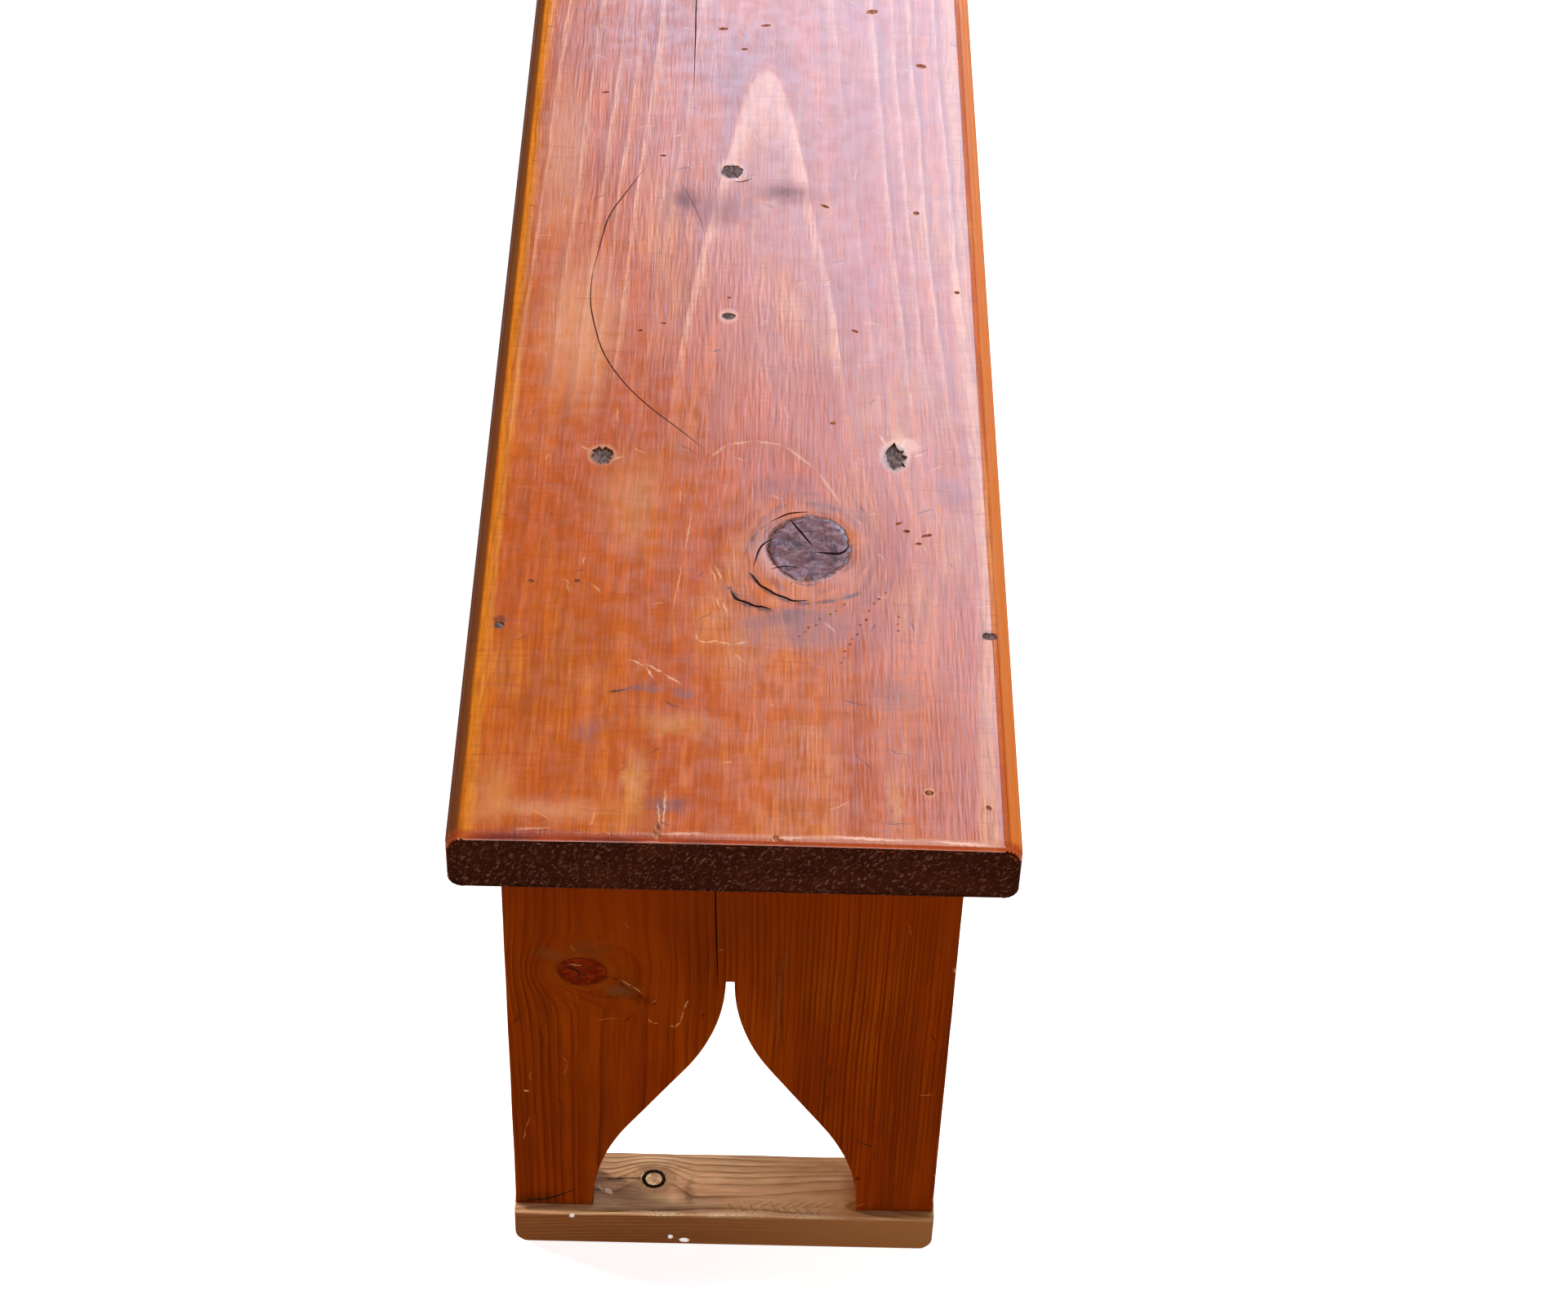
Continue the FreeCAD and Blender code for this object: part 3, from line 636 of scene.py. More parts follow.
seat = {
    # In millimetres; a place is across the bench and along from its near end
    "topRound": 8, "bottomRound": 7, "endRound": 4,
    "acrossStep": 12, "alongStep": 15, "downStep": 8,
    "netEase": 0.2, "endEase": 2,  # how far the net's first cut stays from a rounded edge, and from an end
    "endNet": 7, "knotNet": 4, "nearNet": 3,  # further cuts in each face of a finer net
    "knotNetReach": 52, "nearNetReach": 32,
    "crown": 0.05,  # how far the edges fall, per metre squared
    "topBand": 12,  # how far down the top's wear reaches
    "topWear": (90, 0.4), "endTooth": (1.6, 0.9), "arrisWear": (12, 0.5),  # patch size and depth of wear
    "knot": (35.7, 213.9), "knotHalf": (21.5, 25),
    "knotSink": 0.5, "knotFlat": 17, "knotSlope": 14,
    "inset": 0.01,
    "slotPlay": (0.2, 0.2, 0),  # round the legs, where they meet the plank
    # Holes over the nails, and the wider one at a nail near this place: across, along, radius, stretch
    "nailHole": {"depth": 5, "sides": 16, "ragged": 0.25},
    "nailRadius": 2.8, "widerHoles": [(-11.1, 550.8, 5.4, 1.25)], "sameNail": 12,
    # Torn old holes: place, radius, stretch, seed
    "oldHole": {"depth": 14, "sides": 26, "ragged": 0.55},
    "oldHoles": [((-76.8, 284.8), 6.1, 1.2, 5), ((83, 288.8), 6.1, 1.9, 8)],
    # Grooves on the top: points, width, depth
    "cracks": [
        ([(25.5, 236.5), (31, 228), (38, 215.5)], 2.2, 2.0),
        ([(39, 211), (48, 210), (55, 210.5), (57.5, 217)], 2.0, 1.8),
        ([(16, 196), (22.5, 201), (31, 198)], 1.6, 1.5),
        ([(7, 198), (8.5, 206), (9.5, 211), (12, 217), (19, 222)], 1.2, 1.2),
        ([(15, 233), (21.5, 238.6), (28.2, 241.9), (36, 242.3)], 1.2, 1.2),
        ([(4.4, 193.6), (8, 188), (10, 183.3), (15, 180.2), (18.6, 176.4), (24, 174.6), (28, 171.2),
          (36, 173)], 1.5, 1.2),
        ([(-4.8, 179.4), (-3.4, 174), (-0.4, 171.4), (3, 170.6), (8, 167), (12, 167.4), (17, 165)], 1.7, 1.2),
        ([(-36, 860), (-35.4, 800), (-36.7, 738), (-35.7, 690), (-35.7, 630)], 1.0, 2.5),
        ([(-62.7, 553), (-71.7, 531), (-82.7, 505), (-85.7, 482), (-89, 452)], 0.9, 0.6),
        ([(-89, 456), (-91, 427), (-86, 397), (-80, 372), (-67, 346), (-51, 325), (-32, 305), (-18, 288)],
         0.9, 0.6),
        ([(-41, 539), (-28, 507), (-26, 489)], 0.8, 0.5),
        ([(-9, 541), (-2.5, 539.5), (2, 545)], 1.8, 0.9),
    ],
    # Rows of little dents, one every few millimetres along each line
    "rows": [
        [(54.7, 170.2), (42, 158.7), (33.5, 147.9), (27.2, 141.6)],
        [(75.3, 180.3), (69.6, 170.8), (60.9, 148.9), (56.6, 139.6), (50.2, 121.4)],
        [(82.2, 161.9), (81, 146.5)],
    ],
    "rowStep": 5.4,
    # Dents: across, from the near end, half sizes, turn
    "dents": [
        (76.9, 730.5, 4.2, 2.6, 20), (106.9, 670.3, 3.6, 2.4, -20), (8.7, 711, 3.4, 1.5, 10),
        (-18.4, 705.9, 3.2, 1.8, 5), (-4.5, 683.3, 2.0, 1.4, 0), (45.5, 518.4, 3.2, 1.4, -30),
        (100, 514, 2.2, 1.9, 40), (121.9, 438.2, 1.7, 1.6, 0), (49.2, 316.7, 1.6, 1.4, 0),
        (62.3, 399.2, 2.4, 1.2, -30), (-90.1, 632, 2.4, 1.3, 10), (-52.5, 565.8, 2.0, 1.2, 0),
        (-109.2, 183.2, 1.8, 1.5, 0), (-85, 184, 1.7, 1.4, 0), (94.9, 36.7, 2.4, 2.2, 0),
        (123.8, 27.8, 1.4, 2.0, 20), (98.7, 225.9, 3.2, 1.2, 20), (88, 229, 2.0, 1.4, 0),
        (94.2, 219.3, 1.8, 1.2, 0), (84, 235, 2.2, 1.2, 30), (-60, 395, 1.4, 1.2, 0),
        (-47, 402, 1.7, 1.1, 0), (-10, 427, 1.2, 1.0, 0), (66, 1010, 3.0, 1.9, 20),
        (-72, 930, 2.8, 1.8, 0), (30, 1150, 3.2, 1.7, -15), (-25, 1270, 2.6, 1.9, 30),
        (92, 1330, 2.2, 1.6, 0), (-96, 1450, 3.0, 1.6, 10), (14, 1590, 2.8, 2.0, -25),
        (70, 1690, 3.0, 1.7, 15), (-50, 1760, 2.6, 1.6, 0),
    ],
    "dentDepth": 1.1, "rowDepth": 0.6,
    # Nicks in the near arris: across, half width, how deep they run in
    "nicks": [
        (-98, 2.0, 4.0), (-37.5, 2.2, 15.0), (-31.5, 1.6, 3.5), (-21, 5.0, 3.0), (20, 2.2, 7.0),
        (65, 1.6, 3.0), (104.5, 2.4, 5.0),
    ],
    "nickDepth": 1.3, "nickUp": 0.3,
}
seatTop = seatHigh.z / mm
nearEnd = seatLow.y / mm
seatKnot = onSeat(*seat["knot"])


def nailXYs():
    # Centres of the seat's nails, read from the frame's own nails, which stand well apart
    apart = (20 * mm, 50 * mm)
    found = []
    for node in ("near_seat_nails", "far_seat_nails", "centre_rail_nails"):
        corners = {}
        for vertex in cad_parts[node].data.vertices:
            key = (round(vertex.co.x / apart[0]), round(vertex.co.y / apart[1]))
            corners.setdefault(key, []).append(vertex.co.copy())
        for group in corners.values():
            low = [min(c[i] for c in group) for i in range(2)]
            high = [max(c[i] for c in group) for i in range(2)]
            found.append(((low[0] + high[0]) / 2 / mm, ((low[1] + high[1]) / 2 - seatLow.y) / mm))
    return found


def nailHoleAt(x, y, usual):
    # Radius and stretch of the hole over a nail
    for across, along, radius, stretch in seat["widerHoles"]:
        if math.hypot(across - x, along - y) < seat["sameNail"]:
            return radius, stretch
    return usual, 1


def evenly(points, step):
    # Places a step apart along a line of points
    found = []
    for (x1, y1), (x2, y2) in zip(points, points[1:]):
        count = max(1, round(math.hypot(x2 - x1, y2 - y1) / step))
        found += [(x1 + (x2 - x1) * i / count, y1 + (y2 - y1) * i / count) for i in range(count)]
    return found


def makeSeat():
    board = addBox("seatBoard", seatLow, seatHigh)
    top, bottom = seatHigh.z - 1e-5, seatLow.z + 1e-5
    longEdge = lambda edge: abs(edge.verts[0].co.y - edge.verts[1].co.y) > 1
    roundEdges(board, seat["topRound"] * mm, 5, lambda e: longEdge(e) and e.verts[0].co.z > top)
    roundEdges(board, seat["bottomRound"] * mm, 4, lambda e: longEdge(e) and e.verts[0].co.z < bottom)
    # The arrises round both ends, worn soft
    end = seatHigh.y - 1e-5
    roundEdges(board, seat["endRound"] * mm, 3, lambda e: min(abs(v.co.y) for v in e.verts) > end)
    over = (seat["topRound"] + seat["netEase"]) * mm
    under = (seat["bottomRound"] + seat["netEase"]) * mm
    off = seat["endEase"] * mm
    slicePiece(board, 0, between(seatLow.x + over, seatHigh.x - over, seat["acrossStep"] * mm))
    slicePiece(board, 2, between(seatLow.z + under, seatHigh.z - over, seat["downStep"] * mm))
    slicePiece(board, 1, between(seatLow.y + off, seatHigh.y - off, seat["alongStep"] * mm))
    # A finer net for the torn end grain, round the knot and at the near end
    startEdit(board)
    choose(board, "faces", lambda f: abs(f.normal.y) > 0.9)
    bpy.ops.mesh.quads_convert_to_tris()
    bpy.ops.mesh.subdivide(number_cuts=seat["endNet"])
    reach = seat["knotNetReach"] * mm
    choose(board, "faces", lambda f: f.normal.z > 0.9 and (f.calc_center_median() - seatKnot).length < reach)
    bpy.ops.mesh.subdivide(number_cuts=seat["knotNet"])
    limit = seatLow.y + seat["nearNetReach"] * mm
    choose(board, "faces", lambda f: f.normal.z > 0.9 and f.calc_center_median().y < limit)
    bpy.ops.mesh.subdivide(number_cuts=seat["nearNet"])
    endEdit()
    return board


def wearSeat(board):
    # The board has cupped a little, so its middle stands higher than its edges
    band = seatHigh.z - seat["topBand"] * mm
    for vertex in board.data.vertices:
        if vertex.co.z > band:
            vertex.co.z -= seat["crown"] * vertex.co.x ** 2
    nearTop = seatHigh.z - 2 * mm
    weather(board, *seat["topWear"], lambda p: p.z > band, "Z")
    weather(board, *seat["endTooth"], lambda p: abs(p.y) > seatHigh.y - 0.2 * mm)
    weather(board, *seat["arrisWear"], lambda p: abs(abs(p.y) - seatHigh.y) < 1.6 * mm and p.z > nearTop)
    startEdit(board, "VERT")
    flat = seat["knotFlat"] * mm
    choose(board, "verts", lambda v: v.co.z > nearTop and (v.co - seatKnot).length < flat)
    bpy.ops.transform.translate(
        value=(0, 0, -seat["knotSink"] * mm), use_proportional_edit=True,
        proportional_edit_falloff="SMOOTH", proportional_size=seat["knotSlope"] * mm,
    )
    endEdit()
    # No wear stands out past the plank's own width and length
    inset = seat["inset"] * mm
    for vertex in board.data.vertices:
        vertex.co.x = max(seatLow.x + inset, min(seatHigh.x - inset, vertex.co.x))
        vertex.co.y = max(seatLow.y + inset, min(seatHigh.y - inset, vertex.co.y))


def rowDents(board):
    up = (0, 0, 1)
    cutters = []
    draw = random.Random(3)
    for row in seat["rows"]:
        for x, y in evenly(row, seat["rowStep"]):
            place = onSeat(x + draw.uniform(-0.7, 0.7), y + draw.uniform(-1, 1))
            size = (draw.uniform(0.45, 0.8), draw.uniform(0.7, 1.3), seat["rowDepth"])
            cutters.append(dentCutter(settle(board, place, up), size, draw.uniform(-60, 0)))
    return cutters


def cutSeat(board):
    up = (0, 0, 1)
    cutters = []
    play = Vector(seat["slotPlay"]) * mm
    for node in ("near_leg", "far_leg"):
        low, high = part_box(node)
        cutters.append(addBox("slot", low - play, high + play))
    for i, (x, y) in enumerate(nailXYs()):
        radius, stretch = nailHoleAt(x, y, seat["nailRadius"])
        cutters.append(holeCutter(onSeat(x, y), radius, stretch, i, seat["nailHole"]))
    for place, radius, stretch, seed in seat["oldHoles"]:
        cutters.append(holeCutter(onSeat(*place), radius, stretch, seed, seat["oldHole"]))
    cutAll(board, cutters, darkInside("tornHole", (0.11, 0.03, 0.012), (0.28, 0.09, 0.03)))
    cutters = [
        grooveCutter([settle(board, onSeat(x, y), up) for x, y in points], width, depth, up)
        for points, width, depth in seat["cracks"]
    ]
    cutAll(board, cutters, darkInside("openCrack", (0.035, 0.012, 0.007), (0.11, 0.035, 0.02)))
    cutters = [
        dentCutter(settle(board, onSeat(x, y), up), (half, long, seat["dentDepth"]), turn)
        for x, y, half, long, turn in seat["dents"]
    ]
    cutters += rowDents(board)
    for x, half, long in seat["nicks"]:
        cutters.append(dentCutter(onSeat(x, 0, seat["nickUp"]), (half, long, seat["nickDepth"])))
    cutAll(board, cutters, darkInside("dent", (0.24, 0.055, 0.02), (0.60, 0.22, 0.09), 0.5))


def seatSpots(*spots):
    # Spots given from the near end, on the seat's top
    return [(x, y + nearEnd, seatTop, *rest) for x, y, *rest in spots]


def seatStroke(points, width, strength=1.0, soft=0.7):
    return strokes([(x, y + nearEnd) for x, y in points], width, seatTop, strength, soft)


seatWood = {
    "axes": "XYZ", "surface": seatTop, "length": 1830.0, "start": 0.5,
    # Where the tree's pith lies: how far down along the board, as shares of the deepest
    "pithAcross": 9.0, "pithDeepest": 100.0,
    "pithDepth": [
        (0, 0.44), (0.11, 0.46), (0.19, 0.52), (0.23, 0.567), (0.275, 0.628), (0.33, 0.679),
        (0.361, 0.7), (0.41, 0.73), (0.5, 0.76), (0.66, 0.74), (0.82, 0.66), (1, 0.58),
    ],
    "slowScale": (0.009, 0.0024, 0.009), "slowSway": 14.0,
    "quickScale": (0.07, 0.014, 0.07), "quickSway": 4.0,
    "ringRange": (40.0, 200.0),
    "ringPlaces": [
        (70, 1.0), (84, 0.5), (99, 0.9), (107.5, 0.7), (116, 0.9), (129, 0.95), (146, 0.85), (163, 0.7),
    ],
    # Each ring lightens outwards and ends sharply in the dark start of the next: place, share
    "ringShape": [(-3.0, 0.1), (0.0, 0.5), (0.7, -0.4), (4.8, 0.0)],
    "lineColor": (0.95, 0.38, 0.18), "lineLow": 0.45, "lineHigh": 0.8, "lineFade": (-640, -500),
    "bandScale": (0.16, 0.0025, 0), "bandAmount": 0.4,
    "streakScale": (0.34, 0.011, 0.34), "streakAmount": 0.5, "lightStreak": 0.35,
    "fibreScale": (0.7, 0.05, 0.7), "fibreAmount": 0.4,
    "patchScale": (0.02, 0.008, 0.02),
    "rippleScale": (0.05, 0.45, 0.05), "rippleAmount": 0.28,
    "body": (0.73, 0.138, 0.003), "redder": (0.66, 0.108, 0.010),
    "brown": (0.48, 0.074, 0.002), "brownAmount": 0.6,
    "pale": (0.88, 0.30, 0.05), "paleAmount": 0.6,
    "dark": (0.37, 0.065, 0.009),
    # A lighter orange band inside the left edge, and a painted highlight along the right edge
    "sideBands": [(-134.5, -123.5, (0.92, 0.28, 0.02), 0.75), (118, 131, (0.92, 0.34, 0.10), 0.6)],
    "shades": [
        # The left rounded edge and side darkened as painted shade, the right ones a bright orange painted as
        # lit
        (0, -132.0, -134.0, (0.17, 0.045, 0.01), 0.9), (0, 133.0, 136.0, (0.74, 0.18, 0.02), 0.85),
        # The arrises at both ends tinted a darker red
        (1, 908.5, 912.5, (0.42, 0.06, 0.02), 0.7),
    ],
    "paint": [
        {"color": (0.16, 0.025, 0.022), "reach": 9.0, "spots": [
            (-112, -914, seatTop - 2, 26, 4.5, 3, 0.8, 0.75),
            (-60, -915, seatTop - 2, 30, 4.5, -2, 0.8, 0.7),
            (-20, -915, seatTop - 2, 18, 3.5, 4, 0.8, 0.6),
            (30, -916, seatTop - 3, 34, 3.5, 0, 0.8, 0.5),
        ]},
        # Pale pink streaks on the worn near arris, a painted highlight
        {"color": (0.95, 0.50, 0.34), "reach": 3.0, "spots": seatSpots(
            (-25, 5.5, 14, 1.2, 2, 0.7, 0.5), (64, 5, 26, 1.2, -2, 0.7, 0.7),
            (112, 3.5, 22, 1.4, -3, 0.7, 0.8), (-98, 7, 12, 1.0, 4, 0.7, 0.4), (26, 4, 10, 1.0, 3, 0.7, 0.5),
        )},
    ],
    "fibreHeight": 0.09, "waveHeight": 0.6,
    "roughLow": 0.18, "roughHigh": 0.27, "specular": 0.5,
    "knots": [{
        "across": seat["knot"][0], "along": nearEnd + seat["knot"][1], "surface": seatTop,
        "wide": 22.0, "long": 25.5,
        "push": 0.9, "swirl": 3.2, "lift": 14.0, "wobble": 9.0,
        "haloColor": (0.70, 0.17, 0.035), "haloAmount": 0.6, "haloReach": 1.9,
        "rings": [
            (0.0, 0.0), (0.07, 0.7), (0.1, 0.1), (0.2, 0.55), (0.24, 0.0),
            (0.36, 0.35), (0.4, 0.0), (0.62, 0.3), (0.66, 0.0),
        ],
        "ringColor": (0.20, 0.03, 0.012),
        "coreColor": (0.17, 0.048, 0.042), "coreLight": (0.32, 0.16, 0.165), "coreDark": (0.05, 0.014, 0.012),
        "streakScale": (2.0, 4.6, 0.2),
        "outline": 0.8, "outlineColor": (0.09, 0.022, 0.01), "height": 1.3,
    }],
    "scratches": [
        {"cell": 38, "shift": (3.1, 7.7), "turn": 6.28, "short": 1.5, "long": 6, "width": 0.55, "share": 0.45,
         "strength": 0.5, "color": (0.98, 0.42, 0.16), "height": -0.03},
        {"cell": 46, "shift": (11.3, 1.9), "turn": 6.28, "short": 1.5, "long": 7, "width": 0.7, "share": 0.5,
         "strength": 0.7, "color": (0.16, 0.03, 0.012), "height": -0.03},
        {"cell": 40, "shift": (1.3, 21.9), "turn": 0.12, "short": 6, "long": 14, "width": 0.6, "share": 0.7,
         "strength": 0.4, "color": (0.36, 0.06, 0.01), "height": -0.03},
    ],
    "marks": [
        # Paler patches on the left; the one by the near end is a painted sheen
        {"smeared": True, "color": (0.90, 0.36, 0.16), "spots": seatSpots(
            (-92, 20, 46, 12, 0, 0.9, 0.5), (-95, 400, 34, 110, 0, 0.9, 0.55),
            (-112, 560, 20, 120, 0, 0.9, 0.5),
        )},
        {"smeared": False, "color": (0.95, 0.45, 0.24), "spots": seatSpots(
            (-76.8, 285.5, 9.6, 10.5, 0, 0.4, 0.55), (83, 290, 10.0, 16.5, 0, 0.4, 0.65),
            (92, 300, 6, 8, 30, 0.6, 0.5), (-10.1, 410, 7.2, 8.5, 0, 0.5, 0.5),
            (-11.1, 552, 11.5, 13.5, 0, 0.5, 0.4),
        )},
        {"smeared": True, "color": (0.17, 0.10, 0.13), "spots": seatSpots(
            (-32, 24, 17, 8, 0, 0.9, 0.6), (-14, 670, 24, 66, 0, 0.9, 0.3), (28, 158, 30, 10, 12, 0.9, 0.3),
            (114, 262, 14, 18, 0, 0.9, 0.3), (-73, 75, 16, 12, 30, 0.9, 0.35),
        )},
        {"smeared": True, "color": (0.30, 0.075, 0.05), "rough": 0.25, "spots": seatSpots(
            (34, 150, 44, 22, 8, 0.9, 0.85), (-20, 512, 46, 26, 0, 0.9, 0.55), (22, 530, 30, 18, 0, 0.9, 0.7),
            (-36, 522, 16, 24, 10, 0.9, 0.7),
        )},
        {"smeared": True, "color": (0.13, 0.03, 0.018), "rough": 0.2, "spots": seatSpots(
            (-38, 520, 10, 14, 10, 0.9, 0.6), (-50, 104, 20, 5, 6, 0.9, 0.6), (-28, 102, 9, 6, 0, 0.9, 0.5),
            (24, 532, 16, 8, 0, 0.9, 0.5), (81, 104, 24, 16, 0, 0.9, 0.35), (22, 262, 30, 14, 0, 0.9, 0.25),
            (10, 205, 10, 26, 0, 0.9, 0.25), (24, 161, 28, 8, 14, 0.9, 0.65),
            (48, 246, 30, 7, -20, 0.9, 0.35),
        )},
        {"smeared": True, "color": (0.22, 0.04, 0.035), "spots": seatSpots(
            (-95, 3, 34, 5.5, 0, 0.8, 0.7), (-45, 2, 30, 4, 0, 0.8, 0.6), (15, 1, 40, 3, 0, 0.8, 0.5),
        )},
        {"smeared": True, "color": (0.95, 0.42, 0.12), "spots": seatSpots(
            (-50, 40, 9, 30, 0, 0.9, 0.5), (-118, 30, 16, 34, 0, 0.9, 0.35), (78, 30, 7, 34, 0, 0.9, 0.3),
            (-30, 80, 30, 14, 0, 0.9, 0.35), (-60, 250, 26, 60, 0, 0.9, 0.25), (86, 300, 8, 22, 0, 0.9, 0.5),
        )},
        # Dark bands along the knot's cracks, painted as their soft shade, and dark rims round the holes
        {"smeared": False, "color": (0.06, 0.02, 0.014), "spots": (
            seatStroke(
                [(4.4, 193.6), (10, 183.3), (18.6, 175.4), (28, 170.2), (38, 170.5), (52, 174), (64, 180)],
                4.2, 0.7,
            )
            + seatStroke([(-6, 182), (-4.8, 179.4), (-0.4, 170.4), (8, 166), (18, 164)], 4.6, 0.7)
            + seatStroke([(2, 205), (4, 216), (9, 226), (15, 233)], 2.4, 0.55)
            + seatStroke([(60, 243), (66, 233), (68, 222)], 2.0, 0.4)
            + seatStroke([(14, 243), (28, 250), (44, 249)], 1.6, 0.4)
            + seatStroke([(-67, 101), (-55, 104)], 2.6, 0.8)
            + seatSpots((-76.8, 284.8, 7.6, 8.8, 0, 0.3, 0.6), (83, 288.8, 7.8, 13.4, 0, 0.3, 0.6),
                        (-11.1, 550.8, 7.0, 8.6, 0, 0.3, 0.7), (-123.4, 153.4, 4.4, 4.6, 0, 0.5, 0.5),
                        (128.8, 151.2, 4.2, 4.6, 0, 0.5, 0.5), (-10.1, 409.7, 4.0, 4.6, 0, 0.4, 0.7))
        )},
        {"smeared": False, "color": (0.98, 0.50, 0.24), "spots": (
            seatStroke([(-18, 285), (-9, 296), (6, 300), (22, 297), (40, 277), (53, 250)], 2.6, 0.4)
            + seatStroke([(-47.5, 123), (-38, 116), (-28.4, 108)], 1.6, 0.8)
            + seatStroke([(-11.3, 140.3), (-3, 138), (4.2, 140.8)], 1.5, 0.8)
            + seatStroke([(-8.9, 171), (-5.7, 159)], 1.3, 0.7)
            + seatStroke([(-13.7, 199), (-9.2, 185.5)], 1.3, 0.7)
            + seatStroke([(-37.7, 27), (-36.3, 8)], 1.3, 0.7)
            + seatStroke([(-34.4, 38), (-34.6, 5.4)], 1.3, 0.7)
            + seatStroke([(43.2, 157.5), (50.4, 148.5)], 1.5, 0.6)
            + seatStroke([(-26.0, 246.3), (-29.7, 205.1), (-34.8, 161.5)], 1.1, 0.45)
            + seatStroke([(-15.3, 195.4), (-12.5, 185.4)], 1.3, 0.70)
            + seatStroke([(-12.7, 174.1), (-10.4, 165.4)], 1.3, 0.70)
            + seatStroke([(-22.2, 146.0), (-21.2, 140.6), (-16.6, 139.5), (-10.3, 140.9)], 1.4, 0.70)
            + seatStroke([(-55.8, 126.1), (-47.3, 121.0), (-42.8, 111.7)], 1.4, 0.80)
            + seatStroke([(-82.5, 203.2), (-82.6, 196.8)], 1.2, 0.60)
            + seatStroke([(-78.0, 182.4), (-71.7, 174.5)], 1.2, 0.60)
            + seatStroke([(-8.5, 551.7), (-4.4, 541.9), (-1.1, 549.5)], 1.6, 0.50)
            + seatStroke([(86, 297), (90, 306)], 2.4, 0.5) + seatStroke([(78, 298), (75, 309)], 2.4, 0.5)
            + seatStroke([(93, 290), (99, 293)], 2.0, 0.5) + seatStroke([(-83, 289), (-89, 293)], 2.0, 0.5)
            + seatStroke([(-71, 282), (-64, 285)], 1.8, 0.5)
            + seatStroke([(-10, 543), (-2, 541), (4, 547)], 3.4, 0.35)
            + seatSpots((94.9, 36.7, 3.6, 4, 0, 0.6, 0.8))
        )},
    ],
}


def endWood(name, look):
    # Sawn end grain: dark from the stain it drank and darker still as painted shade, with pale torn fibres
    material, tree, shader, place = newMaterial(name)
    grain = swizzle(tree, place, look["axes"])
    tilted = remap(tree, grain, rotation=(0, 0, math.radians(35)))
    fleck = noiseOn(tree, tilted, (0.62, 0.34, 0.62), 3.0, 0.62, 0.8)
    slow = noiseOn(tree, grain, (0.05, 0.05, 0.05), 2.0)
    color = blend(tree, fade(tree, slow, 0.4, 0.7, 0.0, 0.6), look["dark"], look["warm"])
    color = blend(tree, fade(tree, fleck, 0.52, 0.7), color, look["light"])
    plug(tree, shader.inputs["Base Color"], color)
    plug(tree, shader.inputs["Roughness"], fade(tree, fleck, 0.4, 0.7, 0.55, 0.8))
    shader.inputs["Specular IOR Level"].default_value = 0.0
    bumpFrom(tree, shader, fleck, 1.4 * mm)
    return material


def coverFaces(piece, material, test):
    # Gives the chosen faces a material of their own, apart from cut ones
    piece.data.materials.append(material)
    slotNumber = len(piece.data.materials) - 1
    for face in piece.data.polygons:
        if face.material_index == 0 and test(face):
            face.material_index = slotNumber


def onSeatEnd(face):
    # The end grain and the end's arrises, apart from the worn one at the top
    if abs(face.center.y) < seatHigh.y - 5 * mm or abs(face.center.x) > seatHigh.x - 1.2 * mm:
        return False
    return face.center.z < seatHigh.z - 9 * mm or abs(face.normal.y) > 0.72


def onSeatKnot(face):
    off = face.center - seatKnot
    wide, long = seat["knotHalf"]
    return face.normal.z > 0.8 and math.hypot(off.x / mm / wide, off.y / mm / long) < 1


seatBoard = makeSeat()
seatBoard.data.materials.append(boardWood("waxedSeat", seatWood))
wearSeat(seatBoard)
cutSeat(seatBoard)
smoothShade(seatBoard)
# The end grain's colours are darkened as painted shade as well as by the stain
seatEnds = endWood("seatEnds", {
    "axes": "XZY", "dark": (0.026, 0.0055, 0.0022), "warm": (0.045, 0.009, 0.003),
    "light": (0.115, 0.046, 0.03),
})
coverFaces(seatBoard, seatEnds, onSeatEnd)
coverFaces(seatBoard, boardWood("dryKnot", dict(seatWood, specular=0.14, scratches=[])), onSeatKnot)
seatSides = boardWood("dullSeat", dict(seatWood, specular=0.03, marks=[], scratches=[]))
coverFaces(seatBoard, seatSides, lambda f: abs(f.normal.x) > 0.2 or f.normal.z < 0)
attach(seatBoard, "root")
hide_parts("seat_plank")
print("seat made,", len(seatBoard.data.polygons), "faces")


# Stopping over the nails and in the old holes, rough and a little sunk

stoppingLook = {
    "sides": 18, "thick": 2.2, "insets": 4,
    "grit": (1.8, 0.9),
    "nailRadius": 2.7, "nailDrop": 0.3, "holeDrop": 1.3,
    "dark": (0.055, 0.027, 0.02), "light": (0.24, 0.135, 0.105),
}


def makeStopping(name, places):
    thick = stoppingLook["thick"]
    lumps = []
    for x, y, radius, stretch, drop in places:
        deselectAll()
        bpy.ops.mesh.primitive_cylinder_add(
            vertices=stoppingLook["sides"], radius=radius * mm, depth=thick * mm,
        )
        lump = bpy.context.object
        bpy.ops.object.mode_set(mode="EDIT")
        choose(lump, "faces", lambda f: f.normal.z > 0.9)
        for i in range(stoppingLook["insets"]):
            bpy.ops.mesh.inset(thickness=radius * mm / (stoppingLook["insets"] + 1))
        bpy.ops.mesh.poke()
        bpy.ops.mesh.select_all(action="SELECT")
        bpy.ops.transform.resize(value=(1, stretch, 1))
        bpy.ops.transform.translate(value=onSeat(x, y, -drop - thick / 2))
        endEdit()
        lumps.append(lump)
    piece = joinAll(lumps, name)
    weather(piece, *stoppingLook["grit"], lambda p: True, "Z")
    smoothShade(piece, 50)
    finishWith(piece, darkInside(name + "Finish", stoppingLook["dark"], stoppingLook["light"], 0.7))
    return piece


